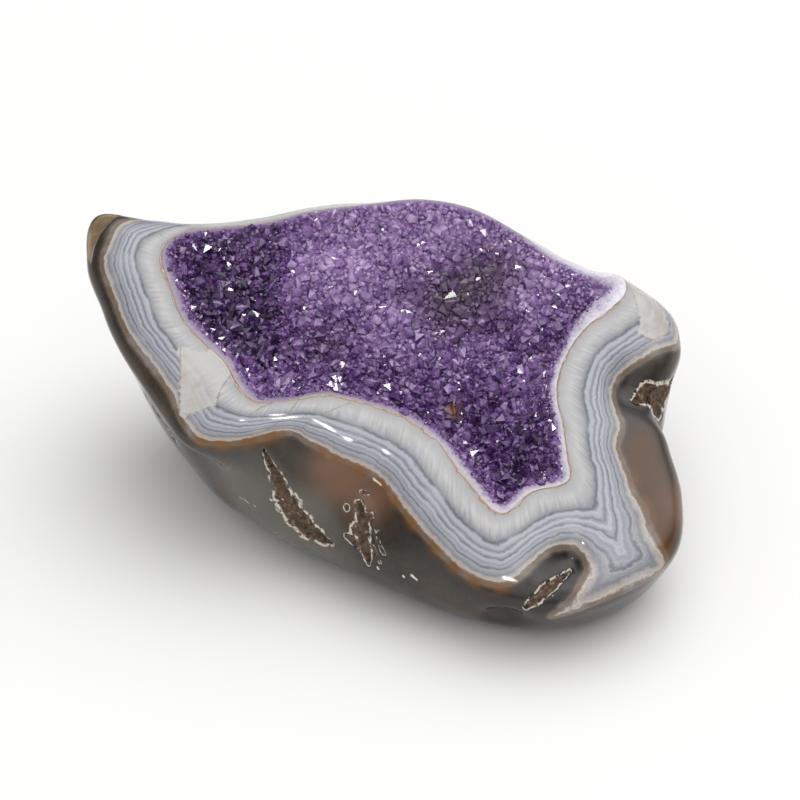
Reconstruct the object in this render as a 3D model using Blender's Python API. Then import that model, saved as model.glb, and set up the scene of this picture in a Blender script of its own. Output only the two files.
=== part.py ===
"""Amethyst cluster: a polished agate geode, open on top, with a crust of amethyst crystals in its hollow.

Two pieces, as nature made them: the agate stone, ground and polished into a wavy bowl with one raised
horn, and the crystal crust that lines the bowl and is polished flush with the stone's rim.
Frame: +X to the broad end, +Y to the tall back wall, +Z up. The origin is on the flat resting face.
Tables are in millimetres; meshes are in metres.
"""

import math

import bmesh
import bpy
import numpy as np
from mathutils import Vector, geometry, noise

MM = 0.001

# Stations round the rim, anticlockwise from above, starting at the horn. Each row lofts one section:
# the seam where the crystal crust meets the agate, the outer edge of the polished rim, a point on the
# flank below it, the edge of the flat foot, how steeply the hollow falls away inside the seam, and
# how far the rim is crowned.
STATIONS = (
    ((-76, 41, 80.5), (-100, 44, 78.5), (-100, 49, 66), (-42, 34), 1.2, 2.4),
    ((-72.5, 31, 76), (-95, 29, 71), (-93.5, 36, 57), (-43, 29), 1.3, 2.6),
    ((-68, 20, 71.5), (-88.5, 15, 65), (-86, 22.5, 51), (-42.5, 24), 1.3, 2.6),
    ((-61, 12, 68), (-81, 3.5, 59.5), (-78, 11.5, 45), (-41, 19.5), 1.2, 2.6),
    ((-54, 5.5, 65), (-74, -6.5, 54), (-70.5, 1, 40), (-38.5, 15), 1.2, 2.6),
    ((-48.5, -3.5, 61), (-66, -15.5, 49), (-62.5, -9, 36), (-35.5, 11), 1.3, 2.6),
    ((-43.5, -8, 59), (-57, -18.5, 47.5), (-54, -14.5, 32), (-32, 7), 1.5, 2.4),
    ((-33.5, -8.5, 59.5), (-42, -19, 47.5), (-40.5, -24, 27), (-26, 1), 1.7, 2.2),
    ((-22, -6.5, 60.5), (-28.5, -20.5, 47), (-28, -31.5, 24), (-18, -6), 1.8, 2.2),
    ((-10, -7.5, 58.5), (-16, -26, 43.5), (-16, -38, 21), (-9, -13), 1.8, 2.4),
    ((2.5, -10.5, 55.5), (-3.5, -34, 37.5), (-3, -45.5, 19), (0, -19.5), 1.8, 2.6),
    ((14, -17.5, 51.5), (9, -45.5, 31.5), (9, -51.5, 17), (10, -26), 1.8, 2.6),
    ((22, -27.5, 46.5), (21, -56, 26), (22, -57, 15), (20, -31.5), 1.8, 2.6),
    ((34.5, -41, 40.5), (34, -63, 22), (34.5, -60.5, 14), (30, -35.5), 1.7, 2.4),
    ((44, -34, 43), (48, -65.5, 21.5), (48, -62.5, 13.5), (41, -38.5), 1.8, 2.6),
    ((56, -29.5, 44), (65.5, -63, 23), (66, -59.5, 15), (53, -39), 1.8, 2.6),
    ((56, -22, 47.5), (80.5, -55, 25.5), (80.5, -51.5, 17.5), (62, -35), 1.9, 2.6),
    ((55, -12, 52), (90.5, -43.5, 30), (91, -38.5, 21.5), (68, -27), 1.9, 2.6),
    ((53.5, -2, 56), (92.5, -28, 36), (93, -24, 25.5), (72, -16), 1.8, 2.6),
    ((54.5, 6, 59.5), (90, -11, 42.5), (90, -7, 31), (73.5, -6), 1.5, 2.6),
    ((58, 14, 63), (89, 3, 48), (88, 6, 36), (74, 3), 1.3, 2.6),
    ((64, 22, 66.5), (92.5, 14, 54), (92.5, 17, 41), (75.5, 12), 1.1, 2.6),
    ((72.5, 28.5, 69.6), (95.5, 27, 57), (95.5, 31, 44), (76, 22), 1.0, 2.4),
    ((77.5, 34.5, 71.4), (93, 39.5, 60), (94, 46, 45), (73, 33), 1.0, 2.0),
    ((76.5, 41, 73.3), (82, 50, 61), (85, 58, 46), (66.5, 42), 1.0, 1.2),
    ((65, 43.5, 74.6), (70, 56, 62), (73, 66, 47), (57, 49), 0.9, 1.4),
    ((54, 46.5, 78), (59, 62, 64), (61, 73, 49), (46, 54), 0.85, 1.6),
    ((42, 52.5, 83.5), (46, 68, 67.5), (47, 79, 50), (34, 58), 0.8, 1.8),
    ((27, 57.5, 89.5), (30, 73.5, 71), (31, 82.5, 51), (21, 60.5), 0.8, 2.2),
    ((10, 58.5, 92.5), (11, 75, 73), (11, 83.5, 52), (6, 61), 0.8, 3.0),
    ((-8, 57, 91.5), (-9, 72.5, 74.5), (-10, 81.5, 53), (-8, 59.5), 0.8, 4.4),
    ((-27, 56.5, 89), (-30, 69.5, 74.5), (-32, 78.5, 54.5), (-20, 56.5), 0.85, 4.6),
    ((-42, 55, 85.5), (-48, 66.5, 74.5), (-51, 75, 57), (-29, 52.5), 0.9, 3.6),
    ((-57, 54, 84.5), (-66, 63.5, 77), (-70, 72, 61), (-35, 48), 1.0, 2.2),
    ((-68, 52, 84), (-83, 61.5, 82), (-87, 69.5, 68), (-39, 43.5), 1.1, 1.4),
    ((-74.5, 47.5, 82.5), (-99, 60, 84.5), (-101, 62, 74), (-41, 39), 1.2, 1.4),
)

BILGE_SPREAD = 0.66
BILGE_LIFT = 0.26
FOOT_CENTRE = (14.0, 8.0)

# Grooves where the nodule folded inwards: start, end, half width, depth.
GROOVES = (
    ((33, -62, 13), (56, -52, 30), 5.0, 4.2),
    ((91, 5, 45), (77, 5, 53), 8.5, 4.4),
    ((-30, -36, 24), (-8, -31, 38), 10.0, 2.2),
    ((-70, -6, 36), (-40, -24, 36), 7.0, 2.4),
)
LUMP_HEIGHT = 0.9
LUMP_SIZE = 34.0

# Pits where the grinding left the host rock: centre, half lengths along the pit, across it and into it,
# and the direction that the pit runs in.
PITS = (
    ((-37.0, -22.0, 40.0), (11, 3.6, 2.6), (8, -6, -13)),
    ((-24.5, -32.0, 27.5), (11, 4.4, 2.8), (11, -6, -8)),
    ((-10.0, -35.5, 31.0), (11, 4.2, 2.6), (9, -13, -12)),
    ((48.0, -60.0, 26.5), (9, 2.4, 2.0), (14, 9, 9)),
    ((87.0, 8.0, 49.5), (8, 6.0, 2.4), (-6, 7, 8)),
    ((-100.5, 52.5, 80.0), (10, 5.0, 2.2), (7, 14, 10)),
)
PIT_SIDES = 12
PIT_RINGS = 8

# The hollow: how deep it gets below the rim, and the crust's thickness.
HOLLOW_DEPTH = 47.0
WALL_BLEND = 0.28
CRUST_WIDTH = 4.6
CRUST_THICKNESS = 5.0
CRUST_GAP = 0.5

# Rounded mounds of the crystal lining: centre x, y, radius on the surface and height.
MOUNDS = (
    (-63, 43, 15, 4.0),
    (-54, 27, 15, 3.0),
    (-22, 42, 23, 11.0),
    (-30, 14, 15, 3.5),
    (5, 51, 16, 8.0),
    (28, 53, 12, 4.0),
    (2, 27, 17, 10.0),
    (-6, 2, 14, 3.0),
    (46, 42, 18, 10.0),
    (31, 23, 14, 6.0),
    (70, 35, 10, 4.0),
    (50, 8, 12, 3.5),
    (16, -8, 13, 2.5),
    (50, -26, 12, 2.0),
)
MOUND_BLEND = 0.8

COLUMNS = 86
RINGS_PER_SPAN = (2, 3, 4, 4, 2)
HOLLOW_SPACING = 7.0
HOLLOW_SHRINK = 0.045
CRUST_SHRINK = 0.03
CRYSTAL_SPACING = 3.9
CRYSTAL_HEIGHT = 2.3
CRYSTAL_TRIES = 30000
UNFOLD_CENTRE = (10.0, 15.0)
UNFOLD_STEPS = 24
NORMAL_STEP = 0.8
SEED = 7


def through(knots, points, at):
    """A smooth curve through the points: cubic spans whose slopes follow the neighbouring points."""
    steps = np.diff(knots, axis=0)
    slopes = np.diff(points, axis=0) / steps[..., None]
    near, far = steps[:-1, ..., None], steps[1:, ..., None]
    inner = (far * slopes[:-1] + near * slopes[1:]) / (near + far)
    tangents = np.concatenate([slopes[:1], inner, slopes[-1:]])
    span = np.clip(np.floor(at).astype(int), 0, len(knots) - 2)
    t = (at - span).reshape([-1] + [1] * (points.ndim - 1))
    width = steps[span][..., None]
    start, end = points[span], points[span + 1]
    return (
        (2 * t**3 - 3 * t**2 + 1) * start
        + (t**3 - 2 * t**2 + t) * width * tangents[span]
        + (3 * t**2 - 2 * t**3) * end
        + (t**3 - t**2) * width * tangents[span + 1]
    )


def closed_rings(columns):
    """Seam, edge, flank and foot rings, slopes and crowns, at evenly spaced columns round the rim."""
    rows = np.array([[*s, *e, *fl, *ft, 0, slope, crown] for s, e, fl, ft, slope, crown in STATIONS])
    count, wrap = len(rows), 3
    rows = np.concatenate([rows[-wrap:], rows, rows[: wrap + 1]])
    rim = (rows[:, :3] + rows[:, 3:6]) / 2
    gaps = np.sqrt(np.linalg.norm(np.diff(rim, axis=0), axis=1))
    knots = np.concatenate([[0], np.cumsum(gaps)])
    fine = np.linspace(wrap, wrap + count, 40 * count + 1)
    middle = through(knots, rim, fine)
    lengths = np.concatenate([[0], np.cumsum(np.linalg.norm(np.diff(middle, axis=0), axis=1))])
    at = np.interp(np.arange(columns) / columns * lengths[-1], lengths, fine)
    found = through(knots, rows, at)
    return found[:, :3], found[:, 3:6], found[:, 6:9], found[:, 9:12], found[:, 12], found[:, 13]


def outer_surface(columns, rings_per_span):
    """Rings of points from the seam over the rim, down the flank and in to the foot, and the wall slopes."""
    seam, edge, flank, foot, slope, crown = closed_rings(columns)
    mid = (seam + edge) / 2
    mid[:, 2] += crown
    bilge = foot + BILGE_SPREAD * (flank - foot)
    bilge[:, 2] = BILGE_LIFT * flank[:, 2]
    control = np.stack([seam, mid, edge, flank, bilge, foot])
    chords = np.linalg.norm(np.diff(control, axis=0), axis=2)
    knots = np.concatenate([np.zeros((1, columns)), np.cumsum(chords, axis=0)])
    at = np.concatenate([i + np.arange(n) / n for i, n in enumerate(rings_per_span)] + [[5.0]])
    return through(knots, control, at), slope


def ring_normals(rings):
    """Outward normals of a grid of rings that close round the columns."""
    along = np.roll(rings, -1, axis=1) - np.roll(rings, 1, axis=1)
    down = np.gradient(rings, axis=0)
    normal = np.cross(down, along)
    return normal / np.linalg.norm(normal, axis=2, keepdims=True)


def segment_distance(points, start, end):
    """How far each point is from the straight line between start and end."""
    start, end = np.array(start, float), np.array(end, float)
    line = end - start
    t = np.clip((points - start) @ line / (line @ line), 0, 1)
    return np.linalg.norm(points - start - t[..., None] * line, axis=-1)


def worked_surface(columns, rings_per_span):
    """The outer surface with its grooves and slow lumps; the seam and the foot stay where they are."""
    rings, slope = outer_surface(columns, rings_per_span)
    push = np.zeros(rings.shape[:2])
    for start, end, width, depth in GROOVES:
        near = segment_distance(rings, start, end) / width
        push -= depth * np.exp(-(near**2))
    lumps = [noise.noise(Vector(p) / LUMP_SIZE) for p in rings.reshape(-1, 3)]
    push += LUMP_HEIGHT * np.array(lumps).reshape(push.shape)
    spans = np.arange(len(rings)) / (len(rings) - 1)
    hold = np.clip(spans * 6, 0, 1) * np.clip((1 - spans) * 4, 0, 1)
    return rings + ring_normals(rings) * (push * hold[:, None])[..., None], slope


def hollow_surface(x, y, seam, slope, setback):
    """Height of the hollow at x, y when its wall starts this far inside the seam."""
    dx, dy = x[:, None] - seam[:, 0], y[:, None] - seam[:, 1]
    away = np.sqrt(dx**2 + dy**2)
    weight = 1 / (away + 0.05) ** 3
    rim = (weight * seam[:, 2]).sum(axis=1) / weight.sum(axis=1)
    drop = slope * np.maximum(away - setback, 0)
    least = drop.min(axis=1)
    soft = least - np.log(np.exp(-WALL_BLEND * (drop - least[:, None])).mean(axis=1)) / WALL_BLEND
    soft = np.minimum(soft, 3 * least)
    return rim - HOLLOW_DEPTH * (1 - np.exp(-soft / HOLLOW_DEPTH)), least


def mound_height(x, y, z, seam, slope):
    """How far the mounds stand out at each point: rounded caps, blended where they meet."""
    mounds = np.array(MOUNDS, float)
    centre_z, _ = hollow_surface(mounds[:, 0], mounds[:, 1], seam, slope, 0.0)
    here = np.column_stack([x, y, z])[:, None]
    centre = np.column_stack([mounds[:, :2], centre_z])
    reach = np.linalg.norm(here - centre, axis=2) / mounds[:, 2]
    caps = mounds[:, 3] * (1 - reach**2)
    caps = np.column_stack([caps, np.full(len(x), -1.0)])
    top = caps.max(axis=1)
    return top + MOUND_BLEND * np.log(np.exp((caps - top[:, None]) / MOUND_BLEND).sum(axis=1))


def floor_level(x, y, seam, slope, setback):
    """Height of the hollow with its mounds, which fade out towards the rim."""
    z, least = hollow_surface(x, y, seam, slope, setback)
    return z + mound_height(x, y, z, seam, slope) * np.clip(least / 12, 0, 1)


def crystal_floor(x, y, seam, slope):
    """The surface that the crystals stand on: level with the rim at the seam, then down the wall."""
    return floor_level(x, y, seam, slope, CRUST_WIDTH)


def agate_floor(x, y, seam, slope):
    """The agate under the crust: it falls away from the seam itself, and stays below the crystals."""
    floor = floor_level(x, y, seam, slope, 0.0)
    away = np.sqrt((x[:, None] - seam[:, 0]) ** 2 + (y[:, None] - seam[:, 1]) ** 2).min(axis=1)
    return floor - CRUST_THICKNESS * (1 - np.exp(-away / 2))


def scattered(seam, height, spacing, shrink, tries, seed):
    """Points over the hollow: a ring just inside the seam, then random ones at least the spacing apart."""
    rng = np.random.default_rng(seed)
    low, high = seam[:, :2].min(axis=0), seam[:, :2].max(axis=0)
    trial = low + rng.random((tries, 2)) * (high - low)
    ring = seam[:, :2] + shrink * (np.array(UNFOLD_CENTRE) - seam[:, :2])
    trial = np.concatenate([ring, trial[inside(trial, ring)]])
    lifted = np.column_stack([trial, height(trial[:, 0], trial[:, 1])])
    kept = []
    cells = {}
    for number, point in enumerate(lifted):
        key = tuple((point // spacing).astype(int))
        near = [
            q
            for i in (-1, 0, 1)
            for j in (-1, 0, 1)
            for k in (-1, 0, 1)
            for q in cells.get((key[0] + i, key[1] + j, key[2] + k), ())
        ]
        if number < len(ring) or all(((point - q) ** 2).sum() >= spacing**2 for q in near):
            cells.setdefault(key, []).append(point)
            kept.append(point)
    return np.array(kept)


def inside(points, seam):
    """Which points lie inside the seam, seen from above."""
    x, y = points[:, 0][:, None], points[:, 1][:, None]
    x0, y0 = seam[:, 0], seam[:, 1]
    x1, y1 = np.roll(x0, -1), np.roll(y0, -1)
    crosses = ((y0 > y) != (y1 > y)) & (x < (x1 - x0) * (y - y0) / (y1 - y0 + 1e-12) + x0)
    return crosses.sum(axis=1) % 2 == 1


def unfolded(points, height):
    """The points laid flat round the unfold centre, each as far out as it lies along the surface."""
    centre = np.array(UNFOLD_CENTRE)
    step = (points[:, :2] - centre) / UNFOLD_STEPS
    track = centre + np.arange(UNFOLD_STEPS + 1)[:, None, None] * step
    flat = track.reshape(-1, 2)
    z = height(flat[:, 0], flat[:, 1]).reshape(UNFOLD_STEPS + 1, -1)
    run = np.linalg.norm(step, axis=1)
    walked = np.sqrt(run**2 + np.diff(z, axis=0) ** 2).sum(axis=0)
    return centre + step / np.maximum(run, 1e-9)[:, None] * walked[:, None]


def triangles_inside(ring, inner, height):
    """Triangles over the points, bounded by the ring, facing up. The ring's points come first."""
    flat = [Vector(p) for p in unfolded(np.concatenate([ring, inner]), height)]
    loop = [(i, (i + 1) % len(ring)) for i in range(len(ring))]
    points, _, faces, origins, *_ = geometry.delaunay_2d_cdt(flat, loop, [], 1, 1e-6)
    if len(points) != len(flat):
        raise ValueError("the outline crosses itself or two points coincide")
    back = [o[0] for o in origins]
    return [tuple(back[i] for i in face) for face in faces]


def mesh_object(name, points, faces, material, smooth):
    """A closed mesh object from points in millimetres."""
    mesh = bpy.data.meshes.new(name)
    mesh.from_pydata([tuple(p * MM) for p in points], [], faces)
    mesh.validate()
    body = bmesh.new()
    body.from_mesh(mesh)
    bmesh.ops.recalc_face_normals(body, faces=body.faces)
    body.to_mesh(mesh)
    body.free()
    if smooth:
        mesh.shade_smooth()
        mesh.set_sharp_from_angle(angle=math.radians(35))
    mesh.materials.append(material)
    made = bpy.data.objects.new(name, mesh)
    bpy.context.scene.collection.objects.link(made)
    return made


def finish(name, colour, roughness, transmission=0.0):
    """A Principled material."""
    material = bpy.data.materials.new(name)
    material.use_nodes = True
    shader = material.node_tree.nodes["Principled BSDF"]
    shader.inputs["Base Color"].default_value = (*colour, 1)
    shader.inputs["Roughness"].default_value = roughness
    shader.inputs["Transmission Weight"].default_value = transmission
    return material


def agate_stone(rings, hollow, floor_faces, material):
    """The polished stone: rim, flank and flat foot outside, and the bare agate of the hollow inside."""
    count, columns = rings.shape[:2]
    outside = rings.reshape(-1, 3)
    first_inner = len(outside)
    centre = first_inner + len(hollow)
    points = np.concatenate([outside, hollow, [[*FOOT_CENTRE, 0.0]]])
    faces = []
    for ring in range(count - 1):
        for column in range(columns):
            a = ring * columns + column
            b = ring * columns + (column + 1) % columns
            faces.append((a, a + columns, b + columns, b))
    foot = (count - 1) * columns
    faces += [(centre, foot + (c + 1) % columns, foot + c) for c in range(columns)]
    shift = first_inner - columns
    faces += [tuple(i if i < columns else i + shift for i in face) for face in floor_faces]
    return mesh_object("agate_stone", points, faces, material, True)


def pit_cutter(name, centre, size, direction, inward):
    """A lumpy ellipsoid that cuts one pit."""
    along = np.array(direction, float)
    along /= np.linalg.norm(along)
    across = np.cross(inward, along)
    across /= np.linalg.norm(across)
    deep = np.cross(along, across)
    body = bmesh.new()
    bmesh.ops.create_uvsphere(body, u_segments=PIT_SIDES, v_segments=PIT_RINGS, radius=1.0)
    for vert in body.verts:
        wobble = 1 + 0.28 * noise.noise(vert.co * 1.7 + Vector(centre))
        x, y, z = vert.co * wobble
        placed = np.array(centre) + x * size[1] * across + y * size[2] * deep + z * size[0] * along
        vert.co = Vector(placed * MM)
    mesh = bpy.data.meshes.new(name)
    body.to_mesh(mesh)
    body.free()
    cutter = bpy.data.objects.new(name, mesh)
    cutter.hide_render = True
    cutter.display_type = "WIRE"
    bpy.context.scene.collection.objects.link(cutter)
    return cutter


def cut_pits(stone, rings):
    """Cuts each pit into the stone with a Boolean, square to the surface at its centre."""
    normals = ring_normals(rings).reshape(-1, 3)
    outside = rings.reshape(-1, 3)
    for number, (centre, size, direction) in enumerate(PITS, 1):
        nearest = np.linalg.norm(outside - np.array(centre), axis=1).argmin()
        cutter = pit_cutter(f"pit_cutter_{number}", centre, size, direction, normals[nearest])
        cut = stone.modifiers.new(f"pit_{number}", "BOOLEAN")
        cut.operation = "DIFFERENCE"
        cut.object = cutter


def crystal_crust(ring, under, floor_faces, seeds, height, material):
    """The crust: one closed body of pyramids, one on each seed, over the underside that fits the agate."""
    faces = triangles_inside(ring, seeds, height)
    base = np.concatenate([ring, seeds])
    corners = np.array([base[list(face)].mean(axis=0) for face in faces])
    corners[:, 2] = height(corners[:, 0], corners[:, 1])
    first_corner = len(base)
    first_under = first_corner + len(corners)
    beside = {}
    for number, face in enumerate(faces):
        for a, b in zip(face, face[1:] + face[:1]):
            beside.setdefault((min(a, b), max(a, b)), []).append((number, a, b))
    top = []
    for uses in beside.values():
        number, a, b = uses[0]
        here = first_corner + number
        if len(uses) == 1:
            top.append((a, b, here))
        else:
            there = first_corner + uses[1][0]
            top += [(a, there, here), (b, here, there)]
    shift = first_under - len(ring)
    below = [tuple(i if i < len(ring) else i + shift for i in face[::-1]) for face in floor_faces]
    points = np.concatenate([base, corners, under])
    return mesh_object("amethyst_crust", points, top + below, material, False)


def surface_normals(x, y, height):
    """Upward normals of the surface with this height."""
    slope_x = (height(x + NORMAL_STEP, y) - height(x - NORMAL_STEP, y)) / (2 * NORMAL_STEP)
    slope_y = (height(x, y + NORMAL_STEP) - height(x, y - NORMAL_STEP)) / (2 * NORMAL_STEP)
    normal = np.column_stack([-slope_x, -slope_y, np.ones(len(x))])
    return normal / np.linalg.norm(normal, axis=1, keepdims=True)


def raise_crystals(seeds, seam, height, seed):
    """Lifts each seed to a crystal's tip, leaning at random; the polished edge by the seam stays flat."""
    rng = np.random.default_rng(seed)
    normal = surface_normals(seeds[:, 0], seeds[:, 1], height) + rng.normal(0, 0.16, seeds.shape)
    away = np.sqrt(((seeds[:, None, :2] - seam[None, :, :2]) ** 2).sum(axis=2)).min(axis=1)
    grown = np.clip((away - CRUST_WIDTH) / 7, 0, 1) ** 0.6 * CRYSTAL_HEIGHT
    grown *= rng.uniform(0.65, 1.25, len(seeds))
    return seeds + normal * grown[:, None]


def main():
    for old in list(bpy.data.objects):
        bpy.data.objects.remove(old)
    agate = finish("agate", (0.35, 0.34, 0.33), 0.12)
    amethyst = finish("amethyst", (0.17, 0.07, 0.33), 0.08, 0.4)

    rings, slope = worked_surface(COLUMNS, RINGS_PER_SPAN)
    seam = rings[0]

    def agate_level(x, y):
        return agate_floor(x, y, seam, slope)

    def crystal_level(x, y):
        return crystal_floor(x, y, seam, slope)

    hollow = scattered(seam, agate_level, HOLLOW_SPACING, HOLLOW_SHRINK, CRYSTAL_TRIES, SEED)
    floor_faces = triangles_inside(seam, hollow, agate_level)
    stone = agate_stone(rings, hollow, floor_faces, agate)
    cut_pits(stone, rings)

    under = hollow + CRUST_GAP * surface_normals(hollow[:, 0], hollow[:, 1], agate_level)
    under[:, 2] += CRUST_GAP
    along = np.roll(seam, -1, axis=0) - np.roll(seam, 1, axis=0)
    inward = np.column_stack([-along[:, 1], along[:, 0]])
    inward /= np.linalg.norm(inward, axis=1, keepdims=True)
    ring = seam.copy()
    ring[:, :2] += CRUST_GAP * 1.5 * inward
    ring[:, 2] += CRUST_GAP * 0.5
    seeds = scattered(ring, crystal_level, CRYSTAL_SPACING, CRUST_SHRINK, CRYSTAL_TRIES, SEED + 1)
    tips = raise_crystals(seeds, seam, crystal_level, SEED + 2)
    crystal_crust(ring, under, floor_faces, tips, crystal_level, amethyst)


main()
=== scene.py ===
# %% [markdown]
# # Amethyst cluster: a polished agate geode
# A geode is a stone bubble. Bands of agate grew inwards from its skin, then white quartz, and last the
# amethyst points in the hollow. This one was cut open and polished into a wavy bowl with one horn.
# The imported CAD model is loaded first, as a fixed frame. Its box is kept.

# %% The frame
import math

import bpy
import numpy as np
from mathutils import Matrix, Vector, noise
from mathutils.kdtree import KDTree


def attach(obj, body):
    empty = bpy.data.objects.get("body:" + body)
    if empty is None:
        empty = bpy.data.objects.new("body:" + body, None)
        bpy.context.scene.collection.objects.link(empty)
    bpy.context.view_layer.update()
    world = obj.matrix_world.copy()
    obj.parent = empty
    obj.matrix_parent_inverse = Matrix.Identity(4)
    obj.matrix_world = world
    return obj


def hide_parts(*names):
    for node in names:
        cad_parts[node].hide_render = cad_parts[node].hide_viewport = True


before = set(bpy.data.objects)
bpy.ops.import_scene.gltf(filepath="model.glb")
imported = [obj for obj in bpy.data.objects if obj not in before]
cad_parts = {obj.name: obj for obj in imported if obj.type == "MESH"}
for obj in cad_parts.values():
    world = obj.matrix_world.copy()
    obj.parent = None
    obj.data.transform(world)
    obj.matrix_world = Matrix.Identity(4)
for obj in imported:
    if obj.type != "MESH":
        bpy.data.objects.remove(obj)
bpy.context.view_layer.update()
MM = 0.001
print("CAD nodes:", sorted(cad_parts))

# %% [markdown]
# ## Camera
# A long lens from far away keeps the stone free of perspective stretch, as in a product photograph. The
# camera could be placed by eye; here its height angle and distance were measured from the picture.

# %% Camera
AIM = Vector((0.003, 0.017, 0.040))
CAMERA_AWAY = 0.74074
CAMERA_ABOVE = math.radians(38)

lens = bpy.data.cameras.new("photo_lens")
lens.lens = 100
lens.sensor_width = 36
camera = bpy.data.objects.new("photo_camera", lens)
camera.location = AIM + CAMERA_AWAY * Vector((0, -math.cos(CAMERA_ABOVE), math.sin(CAMERA_ABOVE)))
camera.rotation_euler = (math.pi / 2 - CAMERA_ABOVE, 0, 0)
bpy.context.scene.collection.objects.link(camera)
bpy.context.scene.camera = camera
print("camera at", [round(c, 3) for c in camera.location])

# %% [markdown]
# ## Helpers for nodes
# Every finish here is a node tree. Writing each link out takes many lines, so short helpers do it. The
# first ones add a node and fill or link its inputs, and do the sums that masks are made of.

# %% Helpers for numbers
def add(tree, kind, values=None, **settings):
    """Adds a node; a value that is a socket is linked, any other value is set."""
    node = tree.nodes.new(kind)
    for name, setting in settings.items():
        setattr(node, name, setting)
    for name, value in (values or {}).items():
        if isinstance(value, bpy.types.NodeSocket):
            tree.links.new(value, node.inputs[name])
        else:
            node.inputs[name].default_value = value
    return node


def sum_of(tree, operation, first, second=0.0, third=0.0):
    """A Math node on up to three numbers or sockets."""
    return add(tree, "ShaderNodeMath", {0: first, 1: second, 2: third}, operation=operation).outputs[0]


def times(tree, first, second):
    """The product of two numbers or sockets."""
    return sum_of(tree, "MULTIPLY", first, second)


def shaken_by(tree, noisy, amount, value):
    """A value that a noise between 0 and 1 moves up and down."""
    return sum_of(tree, "MULTIPLY_ADD", sum_of(tree, "SUBTRACT", noisy, 0.5), amount, value)


def noise_of(tree, place, scale):
    """Smooth noise from 0 to 1; a larger scale gives finer noise."""
    return add(tree, "ShaderNodeTexNoise", {"Vector": place, "Scale": scale, "Detail": 3.0}).outputs["Fac"]


def spread(tree, value, low, high, new_low=0.0, new_high=1.0):
    """A Map Range node: low..high becomes new_low..new_high, and no further."""
    return add(tree, "ShaderNodeMapRange", {"Value": value, "From Min": low, "From Max": high,
                                            "To Min": new_low, "To Max": new_high}).outputs[0]


number_helpers = (sum_of, times, shaken_by, noise_of, spread)
print("helpers for numbers:", ", ".join(helper.__name__ for helper in number_helpers))

# %% [markdown]
# The others handle colours. A colour picked from a screen is not the number that Blender computes with:
# half grey on a screen is only about a fifth of white's light. So the screen colours in the ramps and
# blends below all go through linear.

# %% Helpers for colours and finishes
def linear(red, green, blue):
    """A screen colour, 0 to 255 each, as the linear colour that a socket takes."""
    part = np.array([red, green, blue]) / 255
    part = np.where(part <= 0.04045, part / 12.92, ((part + 0.055) / 1.055) ** 2.4)
    return (*part.tolist(), 1.0)


def ramp(tree, value, stops):
    """A Color Ramp from (place, screen colour) stops."""
    node = add(tree, "ShaderNodeValToRGB", {"Fac": value})
    marks = node.color_ramp.elements
    while len(marks) < len(stops):
        marks.new(1.0)
    for mark, (place, colour) in zip(marks, stops):
        mark.position = place
        mark.color = linear(*colour)
    return node.outputs["Color"]


def blend(tree, amount, under, over):
    """One colour laid over another by an amount from 0 to 1; each is a socket or a screen colour."""
    under, over = (value if isinstance(value, bpy.types.NodeSocket) else linear(*value)
                   for value in (under, over))
    return add(tree, "ShaderNodeMix", {0: amount, 6: under, 7: over}, data_type="RGBA").outputs[2]


def kept(tree, name):
    """A number that the mesh carries at its points or on its faces."""
    return add(tree, "ShaderNodeAttribute", attribute_name=name).outputs["Fac"]


def new_finish(name):
    """A material, its tree and its Principled shader."""
    material = bpy.data.materials.new(name)
    material.use_nodes = True
    return material, material.node_tree, material.node_tree.nodes["Principled BSDF"]


def connect(tree, source, shader, name):
    """Links a socket to a named input of the shader."""
    tree.links.new(source, shader.inputs[name])


print("screen grey 128 is", round(linear(128, 128, 128)[0], 3), "in linear light")

# %% [markdown]
# ## The measured stone
# The bowl's shape follows no simple rule, so it is a table: 36 stations round the rim, each with a point
# on the seam, the rim's edge, the flank and the foot. The same table made the CAD solids. Smooth curves
# run through it in both directions, as a boat's hull is lofted over its ribs.

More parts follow.
